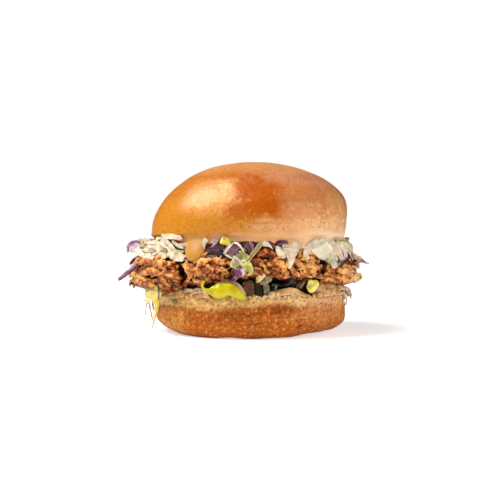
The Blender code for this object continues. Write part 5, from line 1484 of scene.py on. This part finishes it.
def make_pepper(name, knots, material, tints, n=2.0, dents=0.5):
    """A tube along a smooth curve with its own radius at each point, rounded off at both ends and
    dented by noise. Round the curve the radius is (|cos|^n + |sin|^n)^(-1/n) of it, n being 2 for
    round and more for corners."""
    curve = smooth_paths(np.array(knots)[None], 70)[0]
    path, radius = curve[:, :3], np.maximum(curve[:, 3], 0.4)
    s = np.linspace(0, 1, len(path))
    radius = radius * np.sqrt(1.0 - np.clip(np.abs(2 * s - 1), 0, 1) ** 14 * 0.97)
    run = unit(np.gradient(path, axis=0))
    side = unit(np.cross(run, [0.0, 1.0, 0.0]))
    face = np.cross(side, run)
    phi = np.linspace(0, 2 * math.pi, 32, endpoint=False)[None, :, None]
    squared = (np.abs(np.cos(phi + 0.5)) ** n + np.abs(np.sin(phi + 0.5)) ** n) ** (-1.0 / n)
    ring = np.cos(phi) * side[:, None] + 0.85 * np.sin(phi) * face[:, None]
    grid = path[:, None] + radius[:, None, None] * squared * ring
    out = unit(grid - path[:, None])
    dent = dents * noise(grid / 4.2, 151) * np.clip(radius / 2.5, 0, 1)[:, None]
    grid = grid + out * dent[..., None]
    light, dark = (colour(c) for c in tints)
    tint = mix(dark, light, smoothstep(-0.5, 0.5, noise(grid / 5.0, 152))[..., None])
    return closed_piece(name, grid, material, tint)


# The slices: x, y, height above the heel and radius
PICKLES = {"pickle_low": (-1.0, -38.2, 0.0, 10.0), "pickle_high": (10.5, -33.5, 3.3, 10.0)}
PICKLE_HALF = 1.45  # half of a slice's thickness


def make_pickle(name, x, y, height, radius, material):
    """A crinkle-cut slice: a disc whose radius follows a cosine round its rim and whose faces
    follow a sine along X, dark skin outside and seeded flesh inside."""
    angle = np.linspace(-180.0, 180.0, 192, endpoint=False)[None]
    bend = np.radians(np.linspace(90, -90, 14))[:, None]
    face = np.linspace(0.04, 0.92, 12)[:, None]
    share = np.concatenate([face, 0.92 + 0.08 * np.cos(bend), face[::-1]]) + 0 * angle
    level = np.concatenate([np.ones((12, 1)), np.sin(bend), -np.ones((12, 1))])
    rib = 1.0 + 0.03 * np.cos(np.radians(16 * angle))
    grid = polar(angle, radius * share * rib, PICKLE_HALF * level)
    grid[..., 2] += 0.25 * np.sin(grid[..., 0] * 1.6) * (share < 0.95)
    grid = grid * [1.0, 0.94, 1.0] + [x, y, HEEL_HEIGHT + 0.3 + height + PICKLE_HALF]
    seeds = smoothstep(-0.2, 0.4, noise(grid / 2.0, 161))
    flesh = mix(colour("#3E3A12"), colour("#1A150A"), seeds[..., None])
    tint = mix(flesh, colour("#0E0B05"), smoothstep(0.86, 0.93, share)[..., None])
    return closed_piece(name, grid, material, tint)


# Camera, light and floor ------------------------------------------------------------------------


def area_light(name, power, size, at, towards=(0, 0, 50), tint="#FFFFFF"):
    """A rectangular softbox of size (width, height) at a point in mm, turned to face another."""
    light = bpy.data.lights.new(name, "AREA")
    light.shape = "RECTANGLE"
    light.size, light.size_y = size[0] * MM, size[1] * MM
    light.energy = power
    light.color = colour(tint)[:3]
    obj = bpy.data.objects.new(name, light)
    bpy.context.scene.collection.objects.link(obj)
    start, end = np.array(at) * MM, np.array(towards) * MM
    back = unit(start - end)
    side = unit(np.cross([0.0, 0.0, 1.0], back))
    place = np.eye(4)
    place[:3] = np.stack([side, np.cross(back, side), back, start], axis=1)
    obj.matrix_world = Matrix(place)
    return obj


CAMERA_AWAY, CAMERA_HEIGHT = 480.0, 49.3  # as near as the photograph was taken
CAMERA_LENS, CAMERA_SHIFT = 63.07, -0.02
SKY_LIGHT = 0.07  # how bright the white sky is for all but the camera
FLOOR_HALF = 3.0  # half of the floor's width in metres


def make_studio():
    """A near camera level with the sauce, a softbox up at the left, a larger and weaker one at the right, a
    faint one in front, and a white floor that glows, under a white sky."""
    camera = bpy.data.objects.new("camera", bpy.data.cameras.new("camera"))
    bpy.context.scene.collection.objects.link(camera)
    camera.location = (0.0, -CAMERA_AWAY * MM, CAMERA_HEIGHT * MM)
    camera.rotation_euler = (math.radians(90), 0.0, 0.0)
    camera.data.lens, camera.data.sensor_width = CAMERA_LENS, 36.0
    camera.data.shift_y = CAMERA_SHIFT
    camera.data.clip_start, camera.data.clip_end = 0.01, 20.0
    bpy.context.scene.camera = camera

    area_light("key_softbox", 5.6, (460, 360), (-340, -90, 560), (-10, 0, 60), "#FFFDF8")
    area_light("right_fill", 4.2, (620, 520), (700, -380, 170), (20, 0, 45))
    area_light("front_fill", 0.9, (400, 300), (-420, -900, 420), (0, 0, 45))

    world = bpy.data.worlds.new("white_sky")
    bpy.context.scene.world = world
    world.use_nodes = True
    tree = world.node_tree
    background = tree.nodes["Background"]
    path = add(tree, "LightPath")
    level = add(tree, "MapRange", {3: SKY_LIGHT, 4: 1.0}, {0: path.outputs["Is Camera Ray"]})
    tree.links.new(level.outputs[0], background.inputs["Strength"])
    background.inputs["Color"].default_value = (1.0, 1.0, 1.0, 1.0)

    material, tree, shader, place = surface("glowing_white_floor", 0.9)
    shader.inputs["Base Color"].default_value = colour("#F4F4F4")
    shader.inputs["Specular IOR Level"].default_value = 0.1
    shader.inputs["Emission Color"].default_value = colour("#FFFFFF")
    # The floor glows, more far off than near the burger, and less in the light it throws than as the camera
    # sees it
    far = add(tree, "VectorMath", {"operation": "LENGTH"}, {0: place})
    glow = add(tree, "MapRange", {1: 0.06, 2: 0.4, 3: 0.55, 4: 1.0}, {0: far.outputs["Value"]})
    path = add(tree, "LightPath")
    seen = add(tree, "MapRange", {3: 0.35, 4: 1.0}, {0: path.outputs["Is Camera Ray"]})
    shown = add(tree, "Math", {"operation": "MULTIPLY"}, {0: glow.outputs[0], 1: seen.outputs[0]})
    tree.links.new(shown.outputs[0], shader.inputs["Emission Strength"])
    mesh = bpy.data.meshes.new("floor")
    corners = [(x * FLOOR_HALF, y * FLOOR_HALF, 0) for x, y in ((-1, -1), (1, -1), (1, 1), (-1, 1))]
    mesh.from_pydata(corners, [], [(0, 1, 2, 3)])
    mesh.materials.append(material)
    floor = bpy.data.objects.new("floor", mesh)
    bpy.context.scene.collection.objects.link(floor)
    bpy.context.scene.view_settings.view_transform = "Standard"


# The burger -------------------------------------------------------------------------------------

finish = make_materials()
crown = make_crown(finish["crown"])
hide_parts("bun_crown")
for piece in (make_heel(finish["heel"]), make_crumbs(finish["heel"]), make_lumps(finish["heel"])):
    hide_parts("bun_heel")
fillet, fillet_surface = make_fillet(finish["fried"])
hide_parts("fried_fillet")
for piece in (make_folds(finish["fried"]), make_flakes(fillet_surface, finish["fried"])):
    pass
sauce = make_sauce(finish["sauce"])
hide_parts("burger_sauce")
for piece in make_slaw(finish["cabbage"]):
    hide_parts("cabbage_slaw")
for piece in make_bed(finish["lettuce"]):
    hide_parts("lettuce_bed")
long_pepper = make_pepper("long_pepper", LONG_PEPPER, finish["pepper"], ("#D2C312", "#A89A06"))
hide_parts("pepper_long")
short_pepper = make_pepper("short_pepper", SHORT_PEPPER, finish["pepper"], ("#FFF68E", "#FADE5C"), 6.0, 1.6)
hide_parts("pepper_short")
for name, place in PICKLES.items():
    pickle = make_pickle(name + "_slice", *place, finish["pickle"])
    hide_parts(name)
make_studio()
